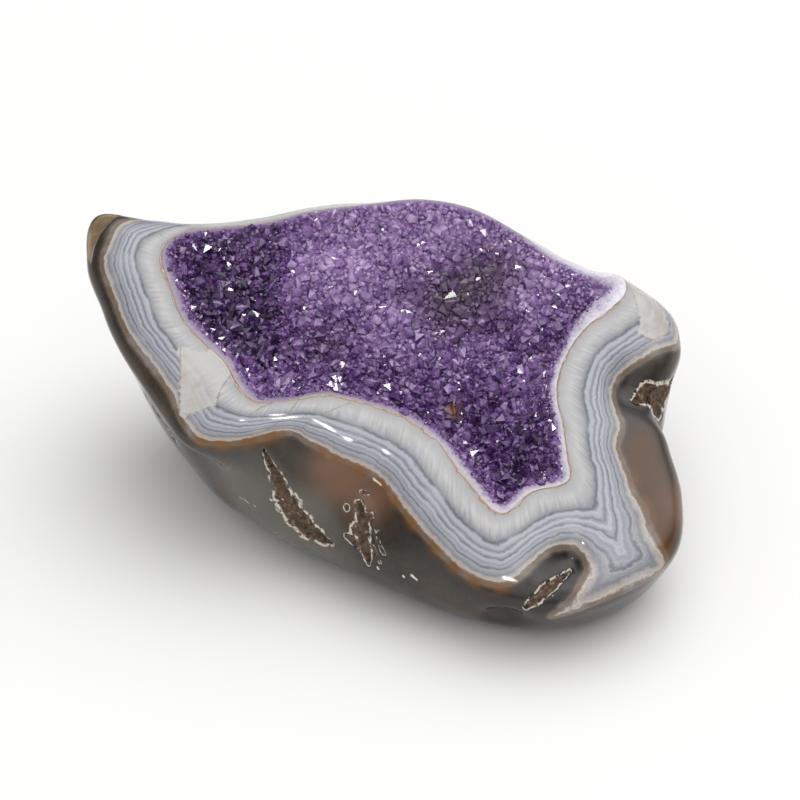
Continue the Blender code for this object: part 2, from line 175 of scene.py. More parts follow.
# %% The table, in millimetres
# Each row: seam, edge of the rim, flank, foot, how steeply the hollow falls, how far the rim is crowned.
STATIONS = (
    ((-76, 41, 80.5), (-100, 44, 78.5), (-100, 49, 66), (-42, 34), 1.2, 2.4),
    ((-72.5, 31, 76), (-95, 29, 71), (-93.5, 36, 57), (-43, 29), 1.3, 2.6),
    ((-68, 20, 71.5), (-88.5, 15, 65), (-86, 22.5, 51), (-42.5, 24), 1.3, 2.6),
    ((-61, 12, 68), (-81, 3.5, 59.5), (-78, 11.5, 45), (-41, 19.5), 1.2, 2.6),
    ((-54, 5.5, 65), (-74, -6.5, 54), (-70.5, 1, 40), (-38.5, 15), 1.2, 2.6),
    ((-48.5, -3.5, 61), (-66, -15.5, 49), (-62.5, -9, 36), (-35.5, 11), 1.3, 2.6),
    ((-43.5, -8, 59), (-57, -18.5, 47.5), (-54, -14.5, 32), (-32, 7), 1.5, 2.4),
    ((-33.5, -8.5, 59.5), (-42, -19, 47.5), (-40.5, -24, 27), (-26, 1), 1.7, 2.2),
    ((-22, -6.5, 60.5), (-28.5, -20.5, 47), (-28, -31.5, 24), (-18, -6), 1.8, 2.2),
    ((-10, -7.5, 58.5), (-16, -26, 43.5), (-16, -38, 21), (-9, -13), 1.8, 2.4),
    ((2.5, -10.5, 55.5), (-3.5, -34, 37.5), (-3, -45.5, 19), (0, -19.5), 1.8, 2.6),
    ((14, -17.5, 51.5), (9, -45.5, 31.5), (9, -51.5, 17), (10, -26), 1.8, 2.6),
    ((22, -27.5, 46.5), (21, -56, 26), (22, -57, 15), (20, -31.5), 1.8, 2.6),
    ((34.5, -41, 40.5), (34, -63, 22), (34.5, -60.5, 14), (30, -35.5), 1.7, 2.4),
    ((44, -34, 43), (48, -65.5, 21.5), (48, -62.5, 13.5), (41, -38.5), 1.8, 2.6),
    ((56, -29.5, 44), (65.5, -63, 23), (66, -59.5, 15), (53, -39), 1.8, 2.6),
    ((56, -22, 47.5), (80.5, -55, 25.5), (80.5, -51.5, 17.5), (62, -35), 1.9, 2.6),
    ((55, -12, 52), (90.5, -43.5, 30), (91, -38.5, 21.5), (68, -27), 1.9, 2.6),
    ((53.5, -2, 56), (92.5, -28, 36), (93, -24, 25.5), (72, -16), 1.8, 2.6),
    ((54.5, 6, 59.5), (90, -11, 42.5), (90, -7, 31), (73.5, -6), 1.5, 2.6),
    ((58, 14, 63), (89, 3, 48), (88, 6, 36), (74, 3), 1.3, 2.6),
    ((64, 22, 66.5), (92.5, 14, 54), (92.5, 17, 41), (75.5, 12), 1.1, 2.6),
    ((72.5, 28.5, 69.6), (95.5, 27, 57), (95.5, 31, 44), (76, 22), 1.0, 2.4),
    ((77.5, 34.5, 71.4), (93, 39.5, 60), (94, 46, 45), (73, 33), 1.0, 2.0),
    ((76.5, 41, 73.3), (82, 50, 61), (85, 58, 46), (66.5, 42), 1.0, 1.2),
    ((65, 43.5, 74.6), (70, 56, 62), (73, 66, 47), (57, 49), 0.9, 1.4),
    ((54, 46.5, 78), (59, 62, 64), (61, 73, 49), (46, 54), 0.85, 1.6),
    ((42, 52.5, 83.5), (46, 68, 67.5), (47, 79, 50), (34, 58), 0.8, 1.8),
    ((27, 57.5, 89.5), (30, 73.5, 71), (31, 82.5, 51), (21, 60.5), 0.8, 2.2),
    ((10, 58.5, 92.5), (11, 75, 73), (11, 83.5, 52), (6, 61), 0.8, 3.0),
    ((-8, 57, 91.5), (-9, 72.5, 74.5), (-10, 81.5, 53), (-8, 59.5), 0.8, 4.4),
    ((-27, 56.5, 89), (-30, 69.5, 74.5), (-32, 78.5, 54.5), (-20, 56.5), 0.85, 4.6),
    ((-42, 55, 85.5), (-48, 66.5, 74.5), (-51, 75, 57), (-29, 52.5), 0.9, 3.6),
    ((-57, 54, 84.5), (-66, 63.5, 77), (-70, 72, 61), (-35, 48), 1.0, 2.2),
    ((-68, 52, 84), (-83, 61.5, 82), (-87, 69.5, 68), (-39, 43.5), 1.1, 1.4),
    ((-74.5, 47.5, 82.5), (-99, 60, 84.5), (-101, 62, 74), (-41, 39), 1.2, 1.4),
)
TURN = len(STATIONS)
# Between the flank and the foot the belly rounds under: how far out and how high, as shares of the flank's.
BILGE_SPREAD = 0.66
BILGE_LIFT = 0.26
FOOT_CENTRE = (14.0, 8.0)
# Grooves where the nodule folded inwards: start, end, half width, depth.
GROOVES = (
    ((33, -62, 13), (56, -52, 30), 5.0, 4.2),
    ((91, 5, 45), (77, 5, 53), 8.5, 4.4),
    ((-30, -36, 24), (-8, -31, 38), 10.0, 2.2),
    ((-70, -6, 36), (-40, -24, 36), 7.0, 2.4),
)
LUMP_HEIGHT = 0.9
LUMP_SIZE = 34.0
# Hand grinding leaves slight waves, which break up the reflections.
WAVE_HEIGHT = 0.32
WAVE_SIZE = 12.0
print(TURN, "stations round the rim")

# %% [markdown]
# ## From the table to a skin
# The stations are joined round the rim, and each is joined down the flank, by cubic curves that pass
# through every point of the table. A subdivision surface would be quicker to set up, but it shrinks away
# from its points.

# %% Curves through the table
def through(knots, points, at):
    """A smooth curve through the points: cubic spans whose slopes follow the neighbouring points."""
    steps = np.diff(knots, axis=0)
    slopes = np.diff(points, axis=0) / steps[..., None]
    near, far = steps[:-1, ..., None], steps[1:, ..., None]
    inner = (far * slopes[:-1] + near * slopes[1:]) / (near + far)
    tangents = np.concatenate([slopes[:1], inner, slopes[-1:]])
    span = np.clip(np.floor(at).astype(int), 0, len(knots) - 2)
    t = (at - span).reshape([-1] + [1] * (points.ndim - 1))
    width = steps[span][..., None]
    start, end = points[span], points[span + 1]
    return (
        (2 * t**3 - 3 * t**2 + 1) * start
        + (t**3 - 2 * t**2 + t) * width * tangents[span]
        + (3 * t**2 - 2 * t**3) * end
        + (t**3 - t**2) * width * tangents[span + 1]
    )


def closed_rings(columns):
    """The table's columns at even steps round the rim, and each step's place in stations."""
    rows = np.array([[*s, *e, *fl, *ft, 0, slope, crown] for s, e, fl, ft, slope, crown in STATIONS])
    wrap = 3  # rows repeated before the start and after the end, so that the curve closes smoothly
    rows = np.concatenate([rows[-wrap:], rows, rows[: wrap + 1]])
    rim = (rows[:, :3] + rows[:, 3:6]) / 2
    gaps = np.sqrt(np.linalg.norm(np.diff(rim, axis=0), axis=1))
    knots = np.concatenate([[0], np.cumsum(gaps)])
    fine = np.linspace(wrap, wrap + TURN, 40 * TURN + 1)
    middle = through(knots, rim, fine)
    lengths = np.concatenate([[0], np.cumsum(np.linalg.norm(np.diff(middle, axis=0), axis=1))])
    at = np.interp(np.arange(columns) / columns * lengths[-1], lengths, fine)
    return through(knots, rows, at), at - wrap


def outer_surface(columns, rings_per_span):
    """Rings from the seam over the rim, down the flank and in to the foot, with slopes and places."""
    found, stations = closed_rings(columns)
    seam, edge, flank, foot = found[:, :3], found[:, 3:6], found[:, 6:9], found[:, 9:12]
    mid = (seam + edge) / 2
    mid[:, 2] += found[:, 13]
    bilge = foot + BILGE_SPREAD * (flank - foot)
    bilge[:, 2] = BILGE_LIFT * flank[:, 2]
    control = np.stack([seam, mid, edge, flank, bilge, foot])
    chords = np.linalg.norm(np.diff(control, axis=0), axis=2)
    knots = np.concatenate([np.zeros((1, columns)), np.cumsum(chords, axis=0)])
    levels = [i + np.arange(n) / n for i, n in enumerate(rings_per_span)]
    levels = np.concatenate([*levels, [len(rings_per_span)]])
    return through(knots, control, levels), found[:, 12], stations, levels


ring_heights = outer_surface(TURN, (1, 1, 1, 1, 1))[0][:, :, 2].mean(axis=1)
print("from the seam to the foot the rings' mean heights are", ring_heights.round(1), "mm")

# %% [markdown]
# ## Ground by hand
# The nodule folded inwards in places, and hand grinding left it slightly lumpy and wavy. Grooves, lumps
# and waves push the skin in or out along its normals. A Displace modifier could do that, but the seam
# with the crystals and the flat foot must stay exactly where they are, so the push fades out there.

# %% The worked skin
def ring_normals(rings):
    """Outward normals of a grid of rings that close round the columns."""
    along = np.roll(rings, -1, axis=1) - np.roll(rings, 1, axis=1)
    normal = np.cross(np.gradient(rings, axis=0), along)
    return normal / np.linalg.norm(normal, axis=2, keepdims=True)


def segment_distance(points, start, end):
    """How far each point is from the straight line between start and end."""
    start, end = np.array(start, float), np.array(end, float)
    line = end - start
    t = np.clip((points - start) @ line / (line @ line), 0, 1)
    return np.linalg.norm(points - start - t[..., None] * line, axis=-1)


def cloud(points, size, shift=0.0):
    """Smooth noise from -1 to 1, with lumps of about this size in millimetres."""
    return np.array([noise.noise(Vector(p) / size + Vector((shift, 0, 0))) for p in points])


def worked_surface(columns, rings_per_span):
    """The outer surface with its grooves and slow lumps; the seam and the foot stay where they are."""
    rings, slope, stations, levels = outer_surface(columns, rings_per_span)
    push = np.zeros(rings.shape[:2])
    for start, end, width, depth in GROOVES:
        near = segment_distance(rings, start, end) / width
        push -= depth * np.exp(-(near**2))
    push += LUMP_HEIGHT * cloud(rings.reshape(-1, 3), LUMP_SIZE).reshape(push.shape)
    push += WAVE_HEIGHT * cloud(rings.reshape(-1, 3), WAVE_SIZE, 5.0).reshape(push.shape)
    spans = np.arange(len(rings)) / (len(rings) - 1)
    hold = np.clip(spans * 6, 0, 1) * np.clip((1 - spans) * 4, 0, 1)  # fades to 0 at seam and foot
    rings = rings + ring_normals(rings) * (push * hold[:, None])[..., None]
    return rings, slope, stations, levels


STONE_COLUMNS = 720
STONE_RINGS = (24, 24, 26, 22, 12)
rings, slope, stations, levels = worked_surface(STONE_COLUMNS, STONE_RINGS)
seam = rings[0]
skin = rings.reshape(-1, 3)
print("stone skin:", rings.shape[0], "rings of", rings.shape[1], "points")

# %% [markdown]
# ## Where things are on the stone
# The bands, cracks and stains are drawn on the polished skin. Their places are kept as station and level
# pairs, like longitude and latitude: the station runs round the rim, and the level runs outwards, 0 on
# the seam, 1 on top of the rim, 2 at its edge, 3 on the flank and 5 at the foot.

# %% From station and level to a point
def on_stone(places):
    """Points in millimetres for (station, level) places."""
    places = np.array(places, float)
    column = np.interp(places[:, 0] % TURN, np.append(stations, TURN), np.arange(STONE_COLUMNS + 1))
    ring = np.interp(places[:, 1], levels, np.arange(len(levels)))
    c0, r0 = np.floor(column).astype(int), np.minimum(np.floor(ring).astype(int), len(levels) - 2)
    c, r = (column - c0)[:, None], (ring - r0)[:, None]
    c0, c1 = c0 % STONE_COLUMNS, (c0 + 1) % STONE_COLUMNS
    upper = rings[r0, c0] * (1 - c) + rings[r0, c1] * c
    lower = rings[r0 + 1, c0] * (1 - c) + rings[r0 + 1, c1] * c
    return upper * (1 - r) + lower * r


def drawn(places, steps=8, closed=False):
    """The same line with this many steps from each point to the next, its corners eased."""
    places = np.array(places, float)
    if closed:
        places = np.concatenate([places, places[:1] + [TURN, 0]])
    at = np.linspace(0, len(places) - 1, (len(places) - 1) * steps + 1)
    knots = np.concatenate([[0], np.cumsum(np.linalg.norm(np.diff(places, axis=0), axis=1) + 0.05)])
    line = through(knots, places, at)
    return line[:-1] if closed else line


def gap_to(points, line):
    """Distance in millimetres from each point to the nearest point of a line."""
    tree = KDTree(len(line))
    for number, p in enumerate(line):
        tree.insert(p, number)
    tree.balance()
    return np.array([tree.find(p)[2] for p in points])


def on_disc(places):
    """Station and level laid out flat, as a disc with the seam near its middle."""
    places = np.array(places, float)
    angle = places[:, 0] / TURN * 2 * math.pi
    return np.column_stack([np.cos(angle), np.sin(angle)]) * (1 + places[:, 1:2])


def inside(points, outline):
    """Which flat points lie inside a flat outline."""
    x, y = points[:, 0][:, None], points[:, 1][:, None]
    x0, y0 = outline[:, 0], outline[:, 1]
    x1, y1 = np.roll(x0, -1), np.roll(y0, -1)
    crosses = ((y0 > y) != (y1 > y)) & (x < (x1 - x0) * (y - y0) / (y1 - y0 + 1e-12) + x0)
    return crosses.sum(axis=1) % 2 == 1


skin_places = np.column_stack([np.tile(stations, len(levels)), np.repeat(levels, STONE_COLUMNS)])
skin_disc = on_disc(skin_places)
print("the skin's places run to station", round(stations[-1], 2))

# %% [markdown]
# ## Bands, cracks and stains
# Agate bands are layers seen edge on, so each follows the one before it. A texture wrapped round the
# stone would not know that. Here each point gets one number, its layer: 0 on the seam with the crystals,
# 1 where the pale bands end, and more beyond, in centimetres. It is found from the distances to those two
# lines, so the bands bend with both. The material then only has to colour the number.

# %% The end of the pale bands
BAND_END = (
    (-1.1, 1.21), (-0.4, 1.32), (0.1, 1.52), (0.6, 1.56), (1.2, 1.54), (2.0, 1.56), (2.7, 1.51),
    (3.3, 1.48), (3.9, 1.48), (4.5, 1.59), (5.0, 1.66), (5.5, 1.73), (6.0, 1.7), (6.5, 1.64),
    (6.9, 1.52), (7.2, 1.39), (7.8, 1.41), (8.1, 1.56), (8.4, 1.6), (8.7, 1.63), (9.0, 1.61),
    (9.4, 1.56), (9.8, 1.52), (10.1, 1.55), (10.3, 1.63), (10.6, 1.67), (10.9, 1.71), (11.3, 1.74),
    (11.5, 1.75), (11.9, 1.76), (12.3, 1.73), (12.7, 1.62), (13.1, 1.51), (13.5, 1.38), (13.8, 1.23),
    (14.1, 1.11), (14.4, 1.04), (14.6, 1.05), (14.8, 1.13), (14.9, 1.27), (14.9, 1.44), (14.7, 1.63),
    (14.5, 1.81), (14.3, 1.95), (14.12, 2.34), (14.35, 2.19), (14.7, 1.98), (15.1, 1.94), (15.6, 1.97),
    (16.0, 2.02), (16.3, 2.12), (16.45, 1.96), (16.5, 1.67), (16.6, 1.48), (16.8, 1.34), (16.9, 1.2),
    (17.1, 1.11), (17.4, 1.01), (17.7, 0.93), (18.0, 0.97), (18.6, 1.08), (18.9, 1.04), (19.4, 1.01),
    (19.9, 1.05), (20.3, 1.14), (20.7, 1.29), (21.3, 1.54), (21.9, 1.93), (22.6, 1.98), (23.4, 1.9),
    (24.4, 1.86), (25.5, 1.8), (27.0, 1.72), (28.5, 1.76), (30.0, 1.66), (31.5, 1.7), (33.0, 1.6),
    (34.0, 1.42),
)
to_seam = gap_to(skin, seam)
to_end = gap_to(skin, on_stone(drawn(BAND_END, 40, closed=True)))
pale = inside(skin_disc, on_disc(drawn(BAND_END, closed=True)))
layer = np.where(pale, to_seam / (to_seam + to_end + 1e-6), 1 + to_end / 10)
print("pale bands cover", round(100 * pale.mean()), "% of the skin's points")

# %% [markdown]
# ## Cracks, pale patches, stains and painted light
# Thin cracks cross the rim, and some of them fence off two milky patches. Iron has stained the stone
# golden, rose and amber in places. Two more soft masks are painted light: a paler grey on the lower left
# flank is a painted reflection of the floor, and near-black in the grooves and just under the rim's front
# edge is painted shade. Each is kept as one number on the skin: a distance in millimetres for cracks and
# patches, and a soft mask for stains and painted light. A painted picture could hold them too, but
# numbers stay sharp at any distance and need no unwrapping.

# %% Cracks and pale patches
CRACKS = (
    ((2.9, 0.62), (3.6, 1.07), (4.1, 1.38), (4.5, 1.61)),
    ((4.5, 1.61), (4.9, 1.1), (5.0, 0.86), (4.7, 0.44), (4.5, 0.0)),
    ((7.4, 0.04), (7.3, 0.74), (7.0, 1.32), (6.7, 1.51)),
    ((8.8, 0.09), (8.4, 0.53), (8.0, 1.06), (7.8, 1.32)),
    ((6.6, 0.0), (6.4, 0.28), (6.3, 0.66)),
    ((23.1, 0.29), (22.4, 0.6), (21.9, 0.85), (21.4, 1.09), (21.4, 1.27), (21.9, 1.57)),
)
PATCHES = (
    ((3.4, 0), (3.3, 0.3), (2.9, 0.62), (3.6, 1.07), (4.1, 1.38), (4.5, 1.61), (4.9, 1.1),
     (5.0, 0.86), (4.7, 0.44), (4.5, 0.0)),
    ((23.1, 0.29), (22.4, 0.6), (21.9, 0.85), (21.4, 1.09), (21.4, 1.27), (21.9, 1.57), (22.7, 1.5),
     (23.3, 0.9)),
)
crack = np.full(len(skin), 9.0)
for line in CRACKS:
    crack = np.minimum(crack, gap_to(skin, on_stone(drawn(line, 30))))
patch = np.full(len(skin), -9.0)
for outline in PATCHES:
    border = gap_to(skin, on_stone(drawn([*outline, outline[0]], 30)))
    within = inside(skin_disc, on_disc(drawn(outline, 4)))
    patch = np.maximum(patch, np.where(within, border, -border))
print("cracks:", len(CRACKS), " pale patches:", len(PATCHES))

# %% Stains, a painted reflection and painted shade
def blobs(points, spots, size):
    """A mask from 0 to 1 that is high near any of the spots and fades over this size in millimetres."""
    clear = np.ones(len(points))
    for spot in spots:
        clear *= 1 - np.exp(-((np.linalg.norm(points - np.array(spot), axis=1) / size) ** 2))
    return 1 - clear


# Along the bands' end the places are (station, level); elsewhere they are points in millimetres.
RUST = ((8.5, 1.64), (8.9, 1.68), (9.4, 1.65), (9.9, 1.62), (10.3, 1.68), (10.8, 1.76), (11.4, 1.84),
        (11.9, 1.85), (12.4, 1.8), (13.0, 1.7), (17.4, 1.26), (17.1, 1.4), (17.0, 1.57), (16.4, 1.9),
        (18.1, 1.58), (16.8, 1.77), (18.1, 1.39), (13.2, 1.82), (13.7, 2.57), (14.3, 2.92), (15.0, 2.97),
        (15.9, 3.1), (16.3, 2.57), (5.6, 1.85), (6.2, 1.84), (6.7, 1.7), (7.0, 1.55), (7.2, 1.5),
        (25.2, 1.92), (25.8, 1.9), (27.4, 1.84), (28.0, 1.85), (29.6, 1.8), (30.8, 1.8), (31.4, 1.84),
        (33.6, 1.62))
ROSE = ((8.7, 2.02), (9.1, 2.03), (9.2, 1.8), (9.8, 2.0), (17.6, 1.9), (18.0, 2.2))
AMBER = ((81, -15, 47), (81, -24, 44), (82, -34, 40), (84, -43, 36), (82.5, -48, 33), (78, -23, 45))
# A paler grey on the lower left flank: a painted reflection of the white floor.
FLOOR_REFLECTION_SPOTS = ((-52, -14, 34), (-45, -20, 30), (-38, -29, 18), (-28, -32, 33), (-25, -38, 14))
# Near-black in the two grooves and on the front just under the rim's edge: painted shade.
GROOVE_SHADE_SPOTS = ((52, -58, 28), (57, -54, 30), (48, -62, 25), (83, 4, 49), (82, 12, 51), (-8, -28, 40),
        (3, -34, 37), (3, -36, 38), (8.6, -42, 35.5), (15, -48.6, 32))
stains_and_painted_light = {
    "rust": blobs(skin, on_stone(RUST), 3.2),
    "rose": blobs(skin, on_stone(ROSE), 7.0),
    "amber": blobs(skin, AMBER, 6),
    "painted_floor_reflection": blobs(skin, FLOOR_REFLECTION_SPOTS, 11),
    "deep": blobs(skin, GROOVE_SHADE_SPOTS, 7),
}
for name, mask in stains_and_painted_light.items():
    print(name, "reaches", round(100 * (mask > 0.3).mean(), 1), "% of the skin's points")

# %% [markdown]
# ## Pits
# Where the grinding reached the old host rock, rough brown pits are left, with cream edges. A Boolean
# could cut them, but the skin is a fine grid already, so its points are pushed in along each pit's path.
# The same distance is kept for the material, which turns rough and brown inside.

# %% The pits' paths: points in millimetres with the half width there, and each pit's depth
PITS = (
    (((-40.4, -18.8, 47.3, 0.5), (-38.6, -20.5, 43.7, 1.0), (-36.6, -22.1, 39.6, 1.9),
      (-34.8, -24.6, 34.5, 3.0), (-31, -28.3, 29, 3.6), (-26.7, -30.5, 24.5, 3.3),
      (-22.6, -32.5, 22.5, 2.2), (-19, -35, 22.4, 1.0)), 2.2),
    (((-10.2, -31, 35.6, 1.3), (-9.2, -33.8, 33, 1.5), (-8.2, -37.1, 30.4, 1.6), (-9, -39.8, 27, 2.2),
      (-7.5, -41.9, 23.6, 1.4), (-7.1, -42.6, 19.7, 0.5)), 1.8),
    (((-14, -30.9, 34.5, 0.9), (-14, -31.2, 33.9, 0.9)), 0.8),
    (((-11, -36, 29.8, 1.7), (-11, -36.2, 29.5, 1.7)), 1.2),
    (((-6.7, -34.3, 33.5, 1.2), (-7.4, -35, 32.6, 1.0)), 0.9),
    (((-14.2, -36.3, 27, 0.7), (-10.9, -39, 26, 1.2)), 0.8),
    (((-9.2, -28.8, 38.7, 0.6), (-6.7, -29.4, 38.6, 0.5)), 0.4),
    (((-2.5, -38, 31.5, 0.4), (-4.5, -38.5, 30.5, 0.5)), 0.4),
    (((-4.2, -40.4, 28.9, 0.5), (-2.1, -43.6, 25.6, 0.5)), 0.5),
    (((-5.4, -41.5, 26.6, 0.6), (-3.2, -44, 22.6, 0.5)), 0.5),
    (((55.7, -55.1, 29.5, 0.6), (53.1, -57.9, 29.1, 1.0), (50.6, -60.1, 28.3, 1.5),
      (48.5, -61.9, 27.3, 1.7), (46.1, -63.4, 25.9, 1.5), (43.6, -64.5, 24.1, 1.2),
      (41.7, -64.6, 22.1, 0.7)), 1.6),
    (((79.5, 4, 49.9, 1.0), (83.5, 7, 50, 3.0), (88, 11.5, 46.5, 4.5), (91.5, 16, 43, 4.8)), 2.0),
    (((84, 8, 52, 1.2), (93.8, 18.4, 48.5, 1.5)), 1.2),
    (((87.4, 10.8, 41.1, 1.6), (90, 13.9, 36, 1.4)), 1.2),
    (((-83.8, 26.1, 36.3, 0.4), (-80.9, 20.8, 36.2, 0.7), (-78.1, 17.2, 33.9, 1.0),
      (-75.6, 14, 32.1, 0.9), (-73.3, 12, 28.6, 1.0), (-70.3, 7.4, 28, 0.4)), 0.8),
)
# On the back, which the picture hides, the places are (station, level, half width).
BACK_PITS = (
    (((25.9, 2.55, 0.8), (26.4, 2.75, 1.8), (26.9, 3.1, 2.4), (27.1, 3.4, 1.0)), 1.4),
    (((27.8, 2.9, 0.7), (28.1, 3.05, 1.1)), 0.8),
    (((30.6, 2.3, 0.5), (31.2, 2.5, 1.3), (31.7, 2.9, 0.9), (31.9, 3.2, 0.4)), 1.0),
    (((33.6, 2.7, 0.6), (33.9, 3.2, 1.5), (33.9, 3.6, 0.8)), 1.1),
    (((29.4, 3.5, 0.5), (29.6, 3.6, 0.5)), 0.5),
)
# The horn's end is ground through to tan rock, smooth and only a little hollow.
HORN_END = ((-92.5, 59.3, 86, 1.2), (-96, 57, 85.5, 3.0), (-99.5, 52, 82.5, 3.6), (-100.5, 47, 80, 2.6),
            (-99.4, 42.5, 78, 0.8))
# Small chips that show as short pale strokes.
MARKS = (
    ((4, -48.3, 20.5), (4.4, -48.7, 20.1)), ((6.6, -49.2, 21.8), (8.5, -50.4, 20.7)),
    ((-4.2, -44.3, 20.6), (-3.8, -44.5, 19.7)), ((-48.9, -16.6, 26.1), (-43.9, -21.2, 26.1)),
    ((-5.4, -27.1, 42.7), (-2.9, -28.8, 41.4)), ((-38.9, -23.7, 31.2), (-35.5, -25.5, 32)),
)
print("pits in front:", len(PITS), " on the back:", len(BACK_PITS), " chips:", len(MARKS))

# %% How the pits are pushed in
def path_reach(points, path):
    """1 in the middle of a path, 0 at its half width, and less outside; the width changes on the way."""
    best = np.full(len(points), -9.0)
    for (*start, near), (*end, far) in zip(path, path[1:]):
        start, line = np.array(start), np.array(end) - np.array(start)
        t = np.clip((points - start) @ line / (line @ line), 0, 1)
        gap = np.linalg.norm(points - start - t[:, None] * line, axis=1)
        best = np.maximum(best, 1 - gap / (near + t * (far - near)))
    return best


def as_points(path):
    """A path of (station, level, half width) as points in millimetres with their half widths."""
    return [(*point, width) for point, (_, _, width) in zip(on_stone([p[:2] for p in path]), path)]


back_pits = [(as_points(path), deep) for path, deep in BACK_PITS]
ragged = cloud(skin, 2.6) + 0.7 * cloud(skin, 1.1, 7.0)
pit = np.full(len(skin), -3.0)
depth = np.zeros(len(skin))
for path, deep in (*PITS, *back_pits):
    reach = path_reach(skin, path) + 0.36 * ragged
    pit = np.maximum(pit, reach)
    depth = np.maximum(depth, deep * np.clip(reach * 1.6, 0, 1) ** 0.7)
horn = path_reach(skin, HORN_END)
depth = np.maximum(depth, 0.5 * np.clip(horn * 3, 0, 1))
mark = np.max([path_reach(skin, [(*a, 0.5), (*b, 0.4)]) for a, b in MARKS], axis=0) + 0.4 * ragged
rough_floor = 0.35 * cloud(skin, 0.9, 3.0) * np.clip(pit * 3, 0, 1)
skin_shape = skin - ring_normals(rings).reshape(-1, 3) * (depth + rough_floor)[:, None]
print("deepest pit:", round(depth.max(), 1), "mm")

# %% [markdown]
# ## The hollow
# Under the crystals the hollow falls away from the seam and swells into rounded mounds, as the real
# lining does. Its height is a formula of the distance to the whole seam, so it meets the rim all round.

# %% The hollow's height
HOLLOW_DEPTH = 47.0
WALL_BLEND = 0.28
CRUST_THICKNESS = 5.0
MOUND_BLEND = 0.8
MOUNDS = (
    (-63, 43, 15, 4.0), (-54, 27, 15, 3.0), (-22, 42, 23, 11.0), (-30, 14, 15, 3.5), (5, 51, 16, 8.0),
    (28, 53, 12, 4.0), (2, 27, 17, 10.0), (-6, 2, 14, 3.0), (46, 42, 18, 10.0), (31, 23, 14, 6.0),
    (70, 35, 10, 4.0), (50, 8, 12, 3.5), (16, -8, 13, 2.5), (50, -26, 12, 2.0),
)
COARSE = 4
hollow_seam, hollow_slope = seam[::COARSE], slope[::COARSE]


def hollow_surface(x, y, setback):
    """Height of the hollow at x, y when its wall starts this far inside the seam."""
    away = np.sqrt((x[:, None] - hollow_seam[:, 0]) ** 2 + (y[:, None] - hollow_seam[:, 1]) ** 2)
    weight = 1 / (away + 0.05) ** 3
    rim = (weight * hollow_seam[:, 2]).sum(axis=1) / weight.sum(axis=1)
    drop = hollow_slope * np.maximum(away - setback, 0)
    least = drop.min(axis=1)
    soft = least - np.log(np.exp(-WALL_BLEND * (drop - least[:, None])).mean(axis=1)) / WALL_BLEND
    soft = np.minimum(soft, 3 * least)
    return rim - HOLLOW_DEPTH * (1 - np.exp(-soft / HOLLOW_DEPTH)), least


mounds = np.array(MOUNDS, float)
mound_level, _ = hollow_surface(mounds[:, 0], mounds[:, 1], 0.0)


def floor_level(x, y, setback):
    """Height of the hollow with its mounds, which fade out towards the rim."""
    z, least = hollow_surface(x, y, setback)
    centre = np.column_stack([mounds[:, :2], mound_level])
    reach = np.linalg.norm(np.column_stack([x, y, z])[:, None] - centre, axis=2) / mounds[:, 2]
    caps = np.column_stack([mounds[:, 3] * (1 - reach**2), np.full(len(x), -1.0)])
    top = caps.max(axis=1)
    lift = top + MOUND_BLEND * np.log(np.exp((caps - top[:, None]) / MOUND_BLEND).sum(axis=1))
    return z + lift * np.clip(least / 12, 0, 1)


def agate_level(x, y):
    """The bare agate under the crust, some millimetres below the crystals."""
    away = np.sqrt((x[:, None] - hollow_seam[:, 0]) ** 2 + (y[:, None] - hollow_seam[:, 1]) ** 2)
    return floor_level(x, y, 0.0) - CRUST_THICKNESS * (1 - np.exp(-away.min(axis=1) / 2))


print("the hollow's middle is", round(float(floor_level(np.array([10.0]), np.array([5.0]), 3)[0]), 1),
      "mm above the floor")

# %% [markdown]
# ## Meshes from grids
# Both large pieces are rings of points inside one another, closed in the middle by a fan of triangles.
# Writing the faces by rule keeps the rim's exact line, which a remesh or a Boolean would blur.

# %% Rings, fans and new pieces
MIDDLE = np.array((10.0, 15.0))


def spokes(outline, steps):
    """Rings of flat points that shrink from an outline to the middle; steps run from 0 to below 1."""
    flat = outline[None, :, :2]
    return flat + np.array(steps)[:, None, None] * (MIDDLE - flat)


def ring_faces(count, columns, first=0):
    """Four-sided faces between neighbouring rings."""
    index = first + np.arange(count * columns).reshape(count, columns)
    beside = np.roll(index, -1, axis=1)
    return np.stack([index[:-1], index[1:], beside[1:], beside[:-1]], axis=-1).reshape(-1, 4).tolist()


def fan(centre, first, columns):
    """Triangles from a centre point to the ring of points that starts at this number."""
    return [(centre, first + c, first + (c + 1) % columns) for c in range(columns)]


def flipped(faces):
    """The same faces, seen from the other side."""
    return [face[::-1] for face in faces]


print("the rings close on", MIDDLE.tolist(), "mm")

# %% New pieces and the numbers that they carry
def new_piece(name, points, faces, material, smooth=True):
    """A mesh object from points in millimetres; its place is in the mesh."""
    mesh = bpy.data.meshes.new(name)
    mesh.from_pydata((np.array(points) * MM).tolist(), [], faces)
    mesh.validate()
    mesh.update()
    if smooth:
        mesh.shade_smooth()
    mesh.materials.append(material)
    piece = bpy.data.objects.new(name, mesh)
    bpy.context.scene.collection.objects.link(piece)
    return piece


def keep_number(piece, name, values):
    """Stores one number for each of the first points; the rest keep 0."""
    numbers = np.zeros(len(piece.data.vertices))
    numbers[: len(values)] = values
    piece.data.attributes.new(name, "FLOAT", "POINT").data.foreach_set("value", numbers)


def keep_vector(piece, name, values):
    """Stores one vector for each of the first points."""
    vectors = np.zeros((len(piece.data.vertices), 3))
    vectors[: len(values)] = values
    piece.data.attributes.new(name, "FLOAT_VECTOR", "POINT").data.foreach_set("vector", vectors.ravel())


print("one millimetre is", MM, "in Blender's metres")

# %% [markdown]
# ## A grain that agate and quartz share
# Rock and crystal are never one even tone. Clouding at two sizes is needed in the agate, in the crust and
# in the crystals, so it is built once as a node group with named inputs, and placed in each material with
# its own sizes. It gives a value for colour and a height for bump.

